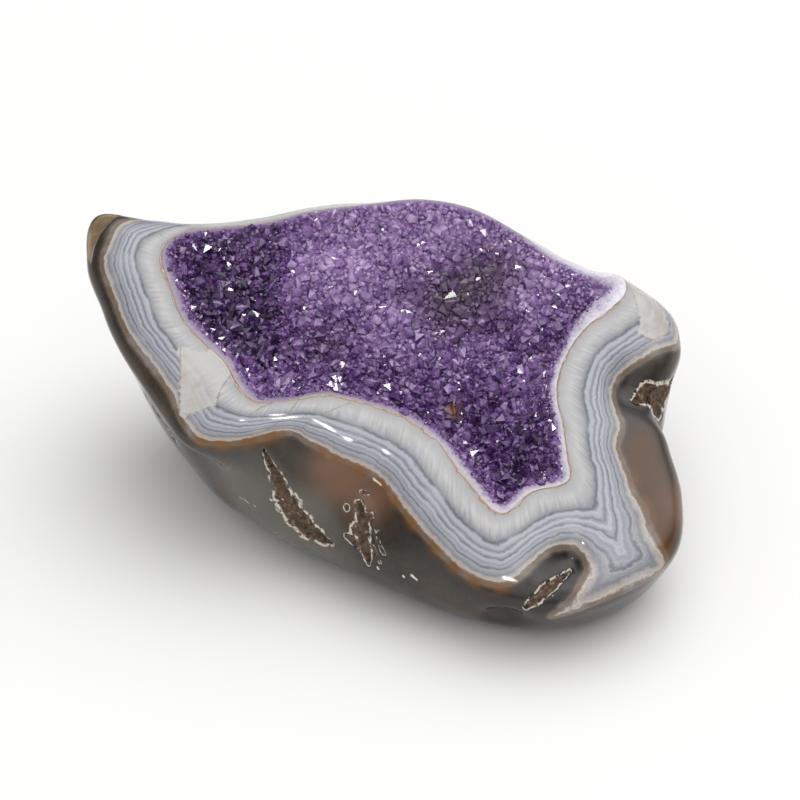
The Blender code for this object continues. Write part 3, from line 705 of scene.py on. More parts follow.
# %% The mineral grain group
def mineral_grain():
    """Builds the group once; each material then sets its own sizes."""
    tree = bpy.data.node_groups.new("mineral grain", "ShaderNodeTree")
    for name, start in (("Cloud Size", 60.0), ("Speck Size", 700.0), ("Speck Share", 0.3), ("Swirl", 0.0)):
        tree.interface.new_socket(name, in_out="INPUT", socket_type="NodeSocketFloat").default_value = start
    for name in ("Value", "Height"):
        tree.interface.new_socket(name, in_out="OUTPUT", socket_type="NodeSocketFloat")
    given = tree.nodes.new("NodeGroupInput").outputs
    place = add(tree, "ShaderNodeTexCoord").outputs["Object"]
    clouds = add(tree, "ShaderNodeTexNoise",
                 {"Vector": place, "Scale": given["Cloud Size"], "Detail": 4.0, "Roughness": 0.6,
                  "Distortion": given["Swirl"]}).outputs["Fac"]
    specks = add(tree, "ShaderNodeTexNoise", {"Vector": place, "Scale": given["Speck Size"],
                                              "Detail": 2.0}).outputs["Fac"]
    both = add(tree, "ShaderNodeMix", {"Factor": given["Speck Share"], "A": clouds, "B": specks})
    out = tree.nodes.new("NodeGroupOutput")
    tree.links.new(spread(tree, both.outputs["Result"], 0.3, 0.7), out.inputs["Value"])
    tree.links.new(specks, out.inputs["Height"])
    return tree


GRAIN = mineral_grain()


def grain(tree, cloud_size, speck_size, speck_share, swirl=0.0):
    """Places the shared grain in a material."""
    node = add(tree, "ShaderNodeGroup", node_tree=GRAIN)
    for name, value in (("Cloud Size", cloud_size), ("Speck Size", speck_size),
                        ("Speck Share", speck_share), ("Swirl", swirl)):
        node.inputs[name].default_value = value
    return node.outputs["Value"], node.outputs["Height"]


print("shared group:", GRAIN.name)

# %% [markdown]
# ## The agate finish
# The layer number is shaken a little by noise, so the bands waver, and then coloured by a ramp with one
# stop for each band. Fine fibres cross the white quartz. The whole is polished, except inside the pits.

# %% The bands' colours
# Each stop is a layer number and a screen colour: the seam, the white quartz, the lavender and blue-grey
# bands from 0.4 to 1, and the browner layers just outside them.
BAND_REACH = 1.3
BANDS = (
    (0.000, (190, 180, 186)), (0.010, (186, 160, 136)), (0.024, (142, 100, 54)), (0.040, (160, 156, 154)),
    (0.110, (172, 170, 170)), (0.240, (192, 190, 190)), (0.350, (174, 173, 175)), (0.415, (138, 139, 145)),
    (0.452, (76, 82, 96)), (0.475, (120, 124, 137)), (0.500, (178, 178, 186)), (0.545, (160, 161, 170)),
    (0.575, (116, 120, 135)), (0.600, (152, 153, 162)), (0.625, (188, 187, 194)), (0.660, (140, 142, 154)),
    (0.685, (98, 103, 119)), (0.705, (184, 183, 191)), (0.755, (138, 140, 153)), (0.790, (160, 159, 167)),
    (0.820, (92, 96, 110)), (0.845, (160, 158, 164)), (0.905, (124, 124, 132)), (0.945, (168, 160, 155)),
    (0.975, (192, 180, 168)), (1.000, (116, 100, 86)), (1.080, (98, 84, 68)), (1.130, (118, 92, 64)),
    (1.165, (78, 64, 48)), (1.280, (58, 52, 44)),
)


def banded_colour(tree, layer, slow):
    """The pale bands, with fibres in the quartz, fine lines in the agate and some haze over both."""
    bands = ramp(tree, sum_of(tree, "DIVIDE", layer, BAND_REACH),
                 [(place / BAND_REACH, colour) for place, colour in BANDS])
    around = add(tree, "ShaderNodeAttribute", attribute_name="around").outputs["Vector"]
    fibre = noise_of(tree, around, 1100.0)
    quartz = times(tree, spread(tree, layer, 0.46, 0.43), spread(tree, fibre, 0.35, 0.65))
    quartz = times(tree, quartz, spread(tree, layer, 0.08, 0.40, 0.15, 1.0))
    bands = blend(tree, times(tree, quartz, 0.75), bands, (132, 132, 136))
    lines = add(tree, "ShaderNodeTexNoise", {"W": layer, "Scale": 60.0, "Detail": 1.0},
                noise_dimensions="1D").outputs["Fac"]
    lines = times(tree, spread(tree, lines, 0.5, 0.7), spread(tree, layer, 0.43, 0.47, 0.05, 0.4))
    bands = blend(tree, lines, bands, (112, 116, 130))
    haze = times(tree, spread(tree, slow, 0.5, 0.72), 0.35)
    return blend(tree, haze, bands, (180, 180, 184))


print("the ramp over the bands has", len(BANDS), "stops")

# %% [markdown]
# Outside the bands the agate is dark and cloudy, and each stain is one more layer of colour over it, as
# thick as the number on the skin says; so are the painted floor reflection and the painted shade in the
# grooves. Cracks, pits and the horn's end come last, because they cut through everything below them.

# %% The dark chalcedony
# What lies over it: the name, how strongly it covers, and its colour. The paler grey is a painted
# reflection of the floor, the near-black is painted shade in the grooves, and amber and rose are stains.
DARK_STAINS_AND_PAINTED_LIGHT = (
    ("painted_floor_reflection", 0.7, (106, 102, 94)), ("deep", 0.8, (16, 14, 12)), ("amber", 0.85, (84, 48, 8)),
    ("rose", 0.7, (126, 92, 70)),
)


def dark_colour(tree, clouds, slow):
    """The cloudy chalcedony outside the bands, with its brown clouds and stains, a painted reflection of
    the floor on the lower left flank and painted shade in the grooves.
    """
    dark = ramp(tree, clouds, ((0.0, (24, 20, 15)), (0.45, (38, 32, 25)), (0.75, (54, 46, 37)),
                               (1.0, (72, 62, 51))))
    brown = times(tree, spread(tree, slow, 0.48, 0.68), spread(tree, clouds, 0.3, 0.8, 0.15, 0.7))
    dark = blend(tree, brown, dark, (72, 50, 30))
    # Two of these layers are painted light: a paler grey painted floor reflection and near-black painted
    # shade in the grooves.
    for name, share, stain in DARK_STAINS_AND_PAINTED_LIGHT:
        dark = blend(tree, times(tree, kept(tree, name), share), dark, stain)
    return dark


print("stains over the dark:", ", ".join(name for name, _, _ in DARK_STAINS_AND_PAINTED_LIGHT))

# %% Flaws in the polish
HOST_ROCK = ((0.25, (44, 34, 27)), (0.5, (88, 70, 56)), (0.65, (112, 92, 74)), (0.75, (156, 136, 116)))


def rim_flaws(tree, colour, clouds, slow, quick):
    """The pale patches with their torn outline and brown veins, and the thin cracks."""
    torn = spread(tree, shaken_by(tree, quick, 4.0, kept(tree, "patch")), -0.1, 0.3)
    milky = times(tree, torn, spread(tree, clouds, 0.1, 0.6, 0.55, 0.95))
    colour = blend(tree, milky, colour, (190, 187, 183))
    veined = times(tree, torn, spread(tree, slow, 0.5, 0.66, 0.0, 0.4))
    colour = blend(tree, veined, colour, (158, 136, 116))
    line = spread(tree, sum_of(tree, "MULTIPLY_ADD", quick, 0.6, kept(tree, "crack")), 0.7, 0.45)
    return blend(tree, times(tree, line, 0.55), colour, (132, 116, 100))


def pitted(tree, colour, pit, specks, quick):
    """Brown host rock inside the pits, a broken cream line round them, and the pale chips."""
    host = ramp(tree, specks, HOST_ROCK)
    rim = times(tree, spread(tree, pit, -0.46, -0.24), spread(tree, quick, 0.42, 0.5))
    colour = blend(tree, rim, colour, (206, 197, 182))
    colour = blend(tree, spread(tree, pit, -0.04, 0.06), colour, host)
    return blend(tree, spread(tree, kept(tree, "mark"), 0.0, 0.3), colour, (214, 208, 198))


def horn_end(tree, colour, clouds, quick):
    """The tan rock at the horn's end, with a dark line round it."""
    end = shaken_by(tree, quick, 0.2, kept(tree, "horn"))
    tan = ramp(tree, clouds, ((0.2, (84, 68, 50)), (0.55, (122, 100, 72)), (0.9, (146, 124, 94))))
    colour = blend(tree, spread(tree, end, -0.12, -0.03), colour, (40, 32, 24))
    return blend(tree, spread(tree, end, 0.0, 0.12), colour, tan)


print("the pits' host rock has", len(HOST_ROCK), "browns")

# %% The agate material
AGATE_INDEX = 1.54


def agate_finish():
    """The whole stone's material; every map starts from numbers that the mesh carries."""
    material, tree, shader = new_finish("agate")
    clouds, specks = grain(tree, 45.0, 700.0, 0.2)
    place = add(tree, "ShaderNodeTexCoord").outputs["Object"]
    slow, quick = noise_of(tree, place, 130.0), noise_of(tree, place, 560.0)
    layer = shaken_by(tree, slow, 0.12, kept(tree, "layer"))
    jagged = sum_of(tree, "ADD", spread(tree, layer, 0.85, 1.0, 0.05, 0.085),
                    spread(tree, layer, 0.0, 0.1, 0.06, 0.0))
    layer = shaken_by(tree, quick, jagged, layer)

    colour = blend(tree, spread(tree, layer, 1.14, 1.27), banded_colour(tree, layer, slow),
                   dark_colour(tree, clouds, slow))
    hugging = times(tree, spread(tree, layer, 0.95, 1.03), spread(tree, layer, 1.45, 1.1))
    rust = times(tree, kept(tree, "rust"), hugging)
    colour = blend(tree, times(tree, rust, 0.88), colour, (118, 74, 14))
    colour = rim_flaws(tree, colour, clouds, slow, quick)
    pit = shaken_by(tree, quick, 0.7, kept(tree, "pit"))
    colour = pitted(tree, colour, pit, specks, quick)
    connect(tree, horn_end(tree, colour, clouds, quick), shader, "Base Color")

    in_pit = spread(tree, pit, -0.04, 0.08)
    connect(tree, spread(tree, in_pit, 0.0, 1.0, 0.09, 0.9), shader, "Roughness")
    bumps = times(tree, specks, sum_of(tree, "MULTIPLY_ADD", in_pit, 1.0, 0.006))
    bump = add(tree, "ShaderNodeBump", {"Height": bumps, "Strength": 0.7, "Distance": 0.0008})
    connect(tree, bump.outputs["Normal"], shader, "Normal")
    shader.inputs["IOR"].default_value = AGATE_INDEX
    return material


agate = agate_finish()
print("agate material:", len(agate.node_tree.nodes), "nodes")

# %% [markdown]
# ## The agate stone
# One closed mesh: the polished skin, the flat foot, and the bare hollow that the crust hides. It stands
# for the CAD solid agate_stone, which is hidden in the picture and stays for collisions. The vector
# "around" runs round the rim, so that noise read along it is drawn out into fibres across the bands.

# %% The stone's mesh
FIBRE_RADIUS = 0.075


def make_stone():
    """The skin's rings, the hollow's rings inside the seam, and a fan at each end."""
    columns = STONE_COLUMNS
    steps = (0.06, 0.2, 0.45, 0.75)
    flat = spokes(seam, steps).reshape(-1, 2)
    hollow = np.column_stack([flat, agate_level(flat[:, 0], flat[:, 1])])
    last = agate_level(MIDDLE[:1], MIDDLE[1:])
    points = np.concatenate([skin_shape, hollow, [[*FOOT_CENTRE, 0.0]], [[*MIDDLE, last[0]]]])
    inner, ahead = len(skin), np.roll(np.arange(columns), -1)
    faces = ring_faces(len(levels), columns)
    faces += flipped(fan(inner + len(hollow), inner - columns, columns))
    faces += [(c, ahead[c], inner + ahead[c], inner + c) for c in range(columns)]
    faces += flipped(ring_faces(len(steps), columns, inner))
    faces += fan(len(points) - 1, inner + (len(steps) - 1) * columns, columns)
    return new_piece("polished_agate", points, faces, agate)


stone = make_stone()
angle = skin_places[:, 0] / TURN * 2 * math.pi
around = np.column_stack([FIBRE_RADIUS * np.cos(angle), FIBRE_RADIUS * np.sin(angle), 0.003 * layer])
keep_vector(stone, "around", around)
carried = {"layer": layer, "crack": crack, "patch": patch, "horn": horn, "pit": pit, "mark": mark, **stains_and_painted_light}
for name, values in carried.items():
    keep_number(stone, name, values)
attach(stone, "root")
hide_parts("agate_stone")
print("stone:", len(stone.data.polygons), "faces, carrying", ", ".join(carried))

# %% [markdown]
# ## The crystal bed
# The amethyst crust is cut and polished where it meets the rim, so a thin flat edge shows there, almost
# white at the seam and purple inside. Beyond it the bed falls into the hollow. It could be a plane that
# is displaced, but rings that shrink from the seam to the middle follow the wavy edge exactly.

# %% The bed's shape
BED_SKIP = 2
BED_COLUMNS = STONE_COLUMNS // BED_SKIP
# Shares of the way from the seam to the middle: close together on the polished edge, wider beyond.
BED_STEPS = np.concatenate([np.linspace(0, 0.12, 16)[:-1], np.linspace(0.12, 0.97, 54)])
# The polished edge's width in millimetres at some stations.
EDGE_WIDTHS = ((0, 2.6), (1, 3.4), (5, 3.8), (7, 2.6), (12, 3.4), (14, 3.6), (16, 3.0), (20, 2.6),
               (21, 4.6), (22, 6.6), (23, 8.4), (24.2, 6.4), (25.5, 3.0), (27, 2.2), (33, 2.2), (36, 2.6))
edge_width = np.interp(stations, *zip(*EDGE_WIDTHS))
bed_setback = edge_width[::COARSE]


def bed_level(x, y):
    """The surface that the crystals stand on."""
    return floor_level(x, y, bed_setback)


bed_ring = seam[::BED_SKIP]
bed_flat = spokes(bed_ring, BED_STEPS).reshape(-1, 2)
bed_top = np.column_stack([bed_flat, bed_level(bed_flat[:, 0], bed_flat[:, 1])])
bed_top[:BED_COLUMNS] = bed_ring
bed_gap = gap_to(np.column_stack([bed_flat, np.zeros(len(bed_flat))]), seam * [1, 1, 0])
bed_edge = bed_gap / np.tile(edge_width[::BED_SKIP], len(BED_STEPS))
bed_middle = [*MIDDLE, bed_level(MIDDLE[:1], MIDDLE[1:])[0]]
bed_faces = flipped(ring_faces(len(BED_STEPS), BED_COLUMNS))
last_ring = (len(BED_STEPS) - 1) * BED_COLUMNS
print("bed from", round(bed_top[:, 2].min(), 1), "to", round(bed_top[:, 2].max(), 1), "mm")

# %% [markdown]
# ## Light and dark in the druse
# The purple is not even: mounds are painted paler, as painted light, and valleys and the left bay darker,
# as painted shade, over some real unevenness of the purple; one hollow is stained grey-brown. Each such
# place is a soft spot with an amount. The bed keeps the sum as a tone, and every crystal takes the tone of
# the bed under it.

# %% Tone spots, mostly painted light and shade: place in millimetres, size, amount
TONE_LIGHT_AND_SHADE = (
    ((-59, 46, 75), 12, -0.27), ((-59, 37, 62), 12, -0.30), ((-52, 26, 54), 14, -0.18),
    ((-41, 54, 86), 8, -0.24), ((-40, 47, 76), 8, -0.36), ((-43, 39, 65), 9, -0.32),
    ((-40, 30, 55), 10, -0.20), ((-20, 47, 78), 18, 0.27), ((-27, 36, 63), 14, 0.17),
    ((-20, 29, 55), 8, -0.14), ((0, 29, 56), 14, 0.14), ((10, 54, 88), 20, 0.28),
    ((26, 41, 68), 11, -0.27), ((16, 36, 63), 9, -0.14), ((36, 44, 72), 9, -0.12),
    ((50, 42, 75), 16, 0.36), ((30, 52, 87), 12, 0.18), ((69, 36, 73), 9, 0.25),
    ((66, 39, 74), 5, -0.12), ((36, 6, 36), 16, -0.20), ((42, -11, 33), 14, -0.20),
)
STAINS = (
    ((26, 41, 68), 12, 0.75), ((16, 36, 63), 9, 0.6), ((36, 44, 72), 9, 0.6),
    ((-20, 29, 55), 8, 0.45), ((21, 14, 37), 2.6, 2.4), ((2, 40, 70), 10, 0.25),
)
MIDDLE_TONE = 0.545


def toned(points, spots):
    """The sum of soft spots at each point."""
    total = np.zeros(len(points))
    for centre, size, amount in spots:
        total += amount * np.exp(-(np.linalg.norm(points - np.array(centre), axis=1) / size) ** 2)
    return total


bed_tone_light_and_shade = MIDDLE_TONE + toned(bed_top, TONE_LIGHT_AND_SHADE) + 0.10 * cloud(bed_top, 9.0)
bed_stain = toned(bed_top, STAINS)
print("tone from", round(bed_tone_light_and_shade.min(), 2), "to", round(bed_tone_light_and_shade.max(), 2))

# %% [markdown]
# ## The crust and its edge
# The crust's colour shows only on the polished edge and between the crystals. It is a ramp over the
# distance from the seam, in widths of the edge: lilac on the edge, deep purple in the bed, which is partly
# the crust's colour and partly painted shade in the gaps between the crystals. On the right, and most of
# all in the back corner there, the edge is nearly white.

# %% The crust material
QUARTZ_INDEX = 1.544


def crust_finish():
    """The polished edge and the bed; the number "edge" is 0 on the seam and 1 where the polish ends."""
    material, tree, shader = new_finish("amethyst crust")
    clouds, specks = grain(tree, 160.0, 900.0, 0.5)
    edge = shaken_by(tree, clouds, 0.6, kept(tree, "edge"))
    # The last, darkest purple is partly the crust's colour and partly painted shade in the gaps between the
    # crystals.
    colour = ramp(tree, sum_of(tree, "DIVIDE", edge, 2.0),
                  ((0.00, (170, 128, 92)), (0.025, (170, 158, 164)), (0.16, (150, 138, 156)),
                   (0.30, (136, 116, 150)), (0.44, (112, 82, 140)), (0.60, (74, 48, 100)),
                   (1.00, (54, 34, 76))))
    fair = times(tree, kept(tree, "fair"), spread(tree, edge, 0.85, 0.0))
    colour = blend(tree, fair, colour, (234, 230, 242))
    connect(tree, colour, shader, "Base Color")
    connect(tree, spread(tree, edge, 0.9, 1.2, 0.12, 0.75), shader, "Roughness")
    bump = add(tree, "ShaderNodeBump", {"Height": specks, "Strength": 0.15, "Distance": 0.0003})
    connect(tree, bump.outputs["Normal"], shader, "Normal")
    shader.inputs["IOR"].default_value = QUARTZ_INDEX
    return material


crust = crust_finish()
print("crust material:", len(crust.node_tree.nodes), "nodes")

# %% The bed's mesh
# How fair the edge is at some stations, from 0 to 1.
FAIR_STATIONS = (10, 13, 19, 22, 25, 27)
FAIR_AMOUNTS = (0, 0.6, 0.6, 1, 1, 0)


def make_bed():
    """A closed slab: the bed above, a coarser underside on the bare agate below."""
    columns, low_steps = BED_COLUMNS, BED_STEPS[1::5]
    flat = spokes(bed_ring, low_steps).reshape(-1, 2)
    top = bed_level(flat[:, 0], flat[:, 1])
    under = np.column_stack([flat, np.minimum(agate_level(flat[:, 0], flat[:, 1]) + 0.4, top - 0.4)])
    points = np.concatenate([bed_top, under, [bed_middle], [[*MIDDLE, bed_middle[2] - 4]]])
    first, ahead = len(bed_top), np.roll(np.arange(columns), -1)
    faces = bed_faces + fan(len(points) - 2, last_ring, columns)
    faces += [(c, first + c, first + ahead[c], ahead[c]) for c in range(columns)]
    faces += ring_faces(len(low_steps), columns, first)
    faces += flipped(fan(len(points) - 1, first + (len(low_steps) - 1) * columns, columns))
    return new_piece("amethyst_bed", points, faces, crust)


bed = make_bed()
keep_number(bed, "edge", bed_edge)
bed_stations = np.tile(stations[::BED_SKIP], len(BED_STEPS))
keep_number(bed, "fair", np.interp(bed_stations, FAIR_STATIONS, FAIR_AMOUNTS))
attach(bed, "root")
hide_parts("amethyst_crust")
print("bed:", len(bed.data.polygons), "faces")

# %% [markdown]
# ## The amethyst finish
# Amethyst is clear quartz with a purple tint, so each point is see-through: light passes in, bends by
# quartz's index of 1.544 and loses green on the way. Transmission, index and absorption are plain values.
# Only the tint changes: from place to place by the tone that each crystal carries, partly painted light
# and shade, and from face to face by a random number, as painted light and shade, because flat faces catch
# the light at different strengths. The palest faces are painted glints, and each crystal is painted darker
# towards its base, as painted shade in the gaps.

# %% The amethyst material
def amethyst_finish():
    """Clear tinted quartz; the numbers tone, facet, tip and stain come with each crystal. The random face
    number paints faces lighter or darker, as painted light and shade, and the palest near white, as painted
    glints; each crystal is painted darker towards its base, as painted shade.
    """
    material, tree, shader = new_finish("amethyst")
    clouds, specks = grain(tree, 420.0, 1500.0, 0.45, 1.2)
    painted_facet_light, stain = kept(tree, "painted_facet_light"), kept(tree, "stain")
    # The random face number lightens or darkens each face: painted light and shade.
    tone = sum_of(tree, "MULTIPLY_ADD", painted_facet_light, 0.26, shaken_by(tree, clouds, 0.65, kept(tree, "tone")))
    colour = ramp(tree, tone, ((0.00, (34, 16, 50)), (0.25, (82, 50, 106)), (0.50, (136, 96, 164)),
                               (0.75, (178, 138, 202)), (1.00, (214, 184, 230))))
    # Painted shade: each crystal darker towards its base, where the gaps between crystals lie.
    low = spread(tree, kept(tree, "tip"), 0.0, 0.5, 0.5, 0.0)
    colour = blend(tree, low, colour, (74, 44, 104))
    # The palest faces turn almost white: painted glints.
    colour = blend(tree, times(tree, spread(tree, painted_facet_light, 0.75, 1.0), 0.5), colour, (226, 208, 240))
    colour = blend(tree, times(tree, spread(tree, stain, 0.0, 1.0), 0.6), colour, (92, 78, 80))
    colour = blend(tree, spread(tree, stain, 1.0, 1.8), colour, (150, 84, 52))
    connect(tree, colour, shader, "Base Color")
    connect(tree, spread(tree, specks, 0.3, 0.7, 0.03, 0.12), shader, "Roughness")
    shader.inputs["IOR"].default_value = QUARTZ_INDEX
    shader.inputs["Transmission Weight"].default_value = 0.5
    tint = add(tree, "ShaderNodeVolumeAbsorption", {"Color": (0.5, 0.28, 0.68, 1.0), "Density": 80.0})
    tree.links.new(tint.outputs["Volume"], tree.nodes["Material Output"].inputs["Volume"])
    return material


amethyst = amethyst_finish()
print("amethyst material:", len(amethyst.node_tree.nodes), "nodes")

# %% [markdown]
# ## Growing the points
# Thousands of crystals stand on the bed. Modelling each is hopeless, and a particle system is hard to
# control, so a Geometry Nodes tree scatters them: it spreads seeds no closer than a spacing, turns each
# by the surface under it and a random lean, and sets a crystal there. It runs twice, for six-sided points
# and for finer grains between them. Every face also gets a random number, which the material turns into
# a lighter or darker face, as painted light and shade. A crystal has few faces, because each is there
# thousands of times.

# %% One crystal, inside the tree
# Each kind: how high its tip is, and how far the tip is set off centre in x and in y.
POINTS = ((1.0, 0.15, 0.0), (0.85, 0.42, 0.1), (0.92, -0.1, 0.5), (0.72, 0.25, -0.3))
GRAINS = ((0.9, 0.2, 0.0), (0.7, 0.5, 0.2), (0.8, -0.2, 0.5))


def heights(tree):
    """The position of each corner and its height."""
    place = add(tree, "GeometryNodeInputPosition").outputs[0]
    return place, add(tree, "ShaderNodeSeparateXYZ", {0: place}).outputs["Z"]


def mark_with(tree, geometry, name, value, domain):
    """Stores a number on each point or face."""
    return add(tree, "GeometryNodeStoreNamedAttribute",
               {"Geometry": geometry, "Name": name, "Value": value},
               data_type="FLOAT", domain=domain).outputs[0]


def pointed(tree, cone, depth, tip_above, marks, kind):
    """Moves a cone's tip off centre, marks each corner's height, and sinks half the cone in the bed."""
    height, tip_x, tip_y = kind
    z = heights(tree)[1]
    tip = add(tree, "FunctionNodeCompare", {"A": z, "B": tip_above}, operation="GREATER_THAN").outputs[0]
    offset = (tip_x, tip_y, height - depth / 2)
    cone = add(tree, "GeometryNodeSetPosition",
               {"Geometry": cone, "Selection": tip, "Offset": offset}).outputs[0]
    marked = mark_with(tree, cone, "tip", spread(tree, z, *marks), "POINT")
    return add(tree, "GeometryNodeTransform",
               {"Geometry": marked, "Translation": (0, 0, -depth / 2)}).outputs[0]


def grain_blank(tree, kind):
    """A small crystal of which only the point shows: a leaning pyramid on five sides."""
    cone = add(tree, "GeometryNodeMeshCone", {"Vertices": 5, "Side Segments": 1, "Radius Top": 0.0,
                                              "Radius Bottom": 1.0, "Depth": 1.6}).outputs["Mesh"]
    return pointed(tree, cone, 1.6, 1.0, (0.4, 1.6), kind)


def point_blank(tree, kind):
    """A six-sided crystal: a short body that widens to a shoulder, then a point set off centre."""
    cone = add(tree, "GeometryNodeMeshCone", {"Vertices": 6, "Side Segments": 2, "Radius Top": 0.0,
                                              "Radius Bottom": 0.8, "Depth": 2.0}).outputs["Mesh"]
    place, z = heights(tree)
    shoulder = add(tree, "FunctionNodeCompare", {"A": z, "B": 1.0, "Epsilon": 0.2},
                   operation="EQUAL").outputs[0]
    wider = add(tree, "ShaderNodeVectorMath", {0: place, 1: (2.5, 2.5, 1.0)},
                operation="MULTIPLY").outputs[0]
    cone = add(tree, "GeometryNodeSetPosition",
               {"Geometry": cone, "Selection": shoulder, "Position": wider}).outputs[0]
    return pointed(tree, cone, 2.0, 1.5, (1.0, 1.9), kind)


print("kinds of point:", len(POINTS), " kinds of grain:", len(GRAINS))

# %% [markdown]
# ## The tree that scatters them
# The bed carries four numbers: where crystals may grow, how large they may get, their tone and their
# stain. The tree reads the first three at each seed, and the stain rides along to the crystals. Chance
# changes their tone, lean, size and kind, and gives each face its number, always with the same seeds, so
# that the druse is the same in every run. The copies are made real at the end, because an exported model
# holds plain faces only.

# %% Chance with fixed seeds
SEEDS = {"tone": 11, "lean": 12, "size": 13, "kind": 14, "painted_facet_light": 15}


def chance(tree, kind, low, high, use):
    """A random number, whole number or vector for each element."""
    first, out = {"FLOAT_VECTOR": (0, 0), "FLOAT": (2, 1), "INT": (4, 2)}[kind]
    return add(tree, "FunctionNodeRandomValue", {first: low, first + 1: high, "Seed": SEEDS[use]},
               data_type=kind).outputs[out]


def carried_by(tree, name):
    """A number that the bed or a seed carries."""
    return add(tree, "GeometryNodeInputNamedAttribute", {"Name": name}, data_type="FLOAT").outputs[0]


print("fixed seeds:", SEEDS)

# %% The druse tree
DENSEST = 5e6  # seeds to a square metre, before the spacing thins them


def druse_tree(make_blank, kinds):
    """Scatters crystals of these kinds over a bed."""
    tree = bpy.data.node_groups.new("druse", "GeometryNodeTree")
    tree.interface.new_socket("Bed", in_out="INPUT", socket_type="NodeSocketGeometry")
    for name in ("Spacing", "Smallest", "Largest", "Lean", "Tone Change"):
        tree.interface.new_socket(name, in_out="INPUT", socket_type="NodeSocketFloat")
    tree.interface.new_socket("Seed", in_out="INPUT", socket_type="NodeSocketInt")
    tree.interface.new_socket("Finish", in_out="INPUT", socket_type="NodeSocketMaterial")
    tree.interface.new_socket("Crystals", in_out="OUTPUT", socket_type="NodeSocketGeometry")
    given = tree.nodes.new("NodeGroupInput").outputs

    seeds = add(tree, "GeometryNodeDistributePointsOnFaces",
                {"Mesh": given["Bed"], "Distance Min": given["Spacing"], "Density Max": DENSEST,
                 "Density Factor": carried_by(tree, "grown"), "Seed": given["Seed"]},
                distribute_method="POISSON")
    change = times(tree, chance(tree, "FLOAT", -1.0, 1.0, "tone"), given["Tone Change"])
    tone = sum_of(tree, "ADD", carried_by(tree, "tone"), change)
    places = mark_with(tree, seeds.outputs["Points"], "tone", tone, "POINT")

    lean = chance(tree, "FLOAT_VECTOR", (-1.0, -1.0, -4.5), (1.0, 1.0, 4.5), "lean")
    lean = add(tree, "ShaderNodeVectorMath", {0: lean, "Scale": given["Lean"]},
               operation="SCALE").outputs[0]
    turn = add(tree, "FunctionNodeEulerToRotation", {"Euler": lean}).outputs[0]
    turned = add(tree, "FunctionNodeRotateRotation",
                 {"Rotation": seeds.outputs["Rotation"], "Rotate By": turn},
                 rotation_space="LOCAL").outputs[0]

    few_large = sum_of(tree, "POWER", chance(tree, "FLOAT", 0.0, 1.0, "size"), 4.0)
    size = add(tree, "ShaderNodeMix",
               {"Factor": few_large, "A": given["Smallest"], "B": given["Largest"]}).outputs["Result"]
    size = times(tree, size, carried_by(tree, "size"))
    shapes = tree.nodes.new("GeometryNodeGeometryToInstance")
    for kind in kinds:
        tree.links.new(make_blank(tree, kind), shapes.inputs[0])
    placed = add(tree, "GeometryNodeInstanceOnPoints",
                 {"Points": places, "Instance": shapes.outputs[0], "Pick Instance": True,
                  "Instance Index": chance(tree, "INT", 0, len(kinds) - 1, "kind"), "Rotation": turned,
                  "Scale": size}).outputs[0]
    real = add(tree, "GeometryNodeRealizeInstances", {"Geometry": placed}).outputs[0]
    # Each face gets a random number, which the material uses for painted light and shade.
    faceted = mark_with(tree, real, "painted_facet_light", chance(tree, "FLOAT", -1.0, 1.0, "painted_facet_light"), "FACE")
    done = add(tree, "GeometryNodeSetMaterial",
               {"Geometry": faceted, "Material": given["Finish"]}).outputs[0]
    tree.links.new(done, tree.nodes.new("NodeGroupOutput").inputs[0])
    return tree


print("seeds are thinned from", round(DENSEST / 1e6), "to a square millimetre")

# %% Crystals on the bed
def grow_crystals(name, make_blank, kinds, start, settings):
    """Runs a druse tree on the bed's upper surface, from this share of the edge's width inwards."""
    seedbed = new_piece("seedbed", np.concatenate([bed_top, [bed_middle]]),
                        bed_faces + fan(len(bed_top), last_ring, BED_COLUMNS), crust)
    beyond = bed_edge + 0.3 * cloud(bed_top, 3.0, 2.0) - start
    keep_number(seedbed, "tone", bed_tone_light_and_shade)
    keep_number(seedbed, "stain", bed_stain)
    keep_number(seedbed, "grown", np.clip(beyond * 6, 0, 1))
    keep_number(seedbed, "size", np.clip(0.5 + 0.6 * beyond, 0.4, 1))
    growth = seedbed.modifiers.new("druse", "NODES")
    growth.node_group = druse_tree(make_blank, kinds)
    for socket in growth.node_group.interface.items_tree:
        if socket.in_out == "INPUT" and socket.name in settings:
            growth[socket.identifier] = settings[socket.name]
    evaluated = seedbed.evaluated_get(bpy.context.evaluated_depsgraph_get())
    mesh = bpy.data.meshes.new_from_object(evaluated)
    bpy.data.objects.remove(seedbed)
    piece = bpy.data.objects.new(name, mesh)
    bpy.context.scene.collection.objects.link(piece)
    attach(piece, "root")
    print(name, "has", sum(len(face.vertices) - 2 for face in mesh.polygons), "triangles")
    return piece


points = grow_crystals("amethyst_points", point_blank, POINTS, 0.75,
                       {"Spacing": 0.0014, "Smallest": 0.0012, "Largest": 0.0028, "Lean": 0.7,
                        "Tone Change": 0.2, "Seed": 5, "Finish": amethyst})
grains = grow_crystals("amethyst_grains", grain_blank, GRAINS, 0.55,
                       {"Spacing": 0.00095, "Smallest": 0.0008, "Largest": 0.0014, "Lean": 0.9,
                        "Tone Change": 0.2, "Seed": 9, "Finish": amethyst})

# %% [markdown]
# ## Floor and light
# Product photographs of stones use a white sweep and large soft lamps. Lamp objects have hard edges
# that a polished stone mirrors, so the large lamps are soft glows in the sky instead, over a wide floor.

# %% The floor
FLOOR_REACH = 4000.0
FLOOR_DROP = 0.05


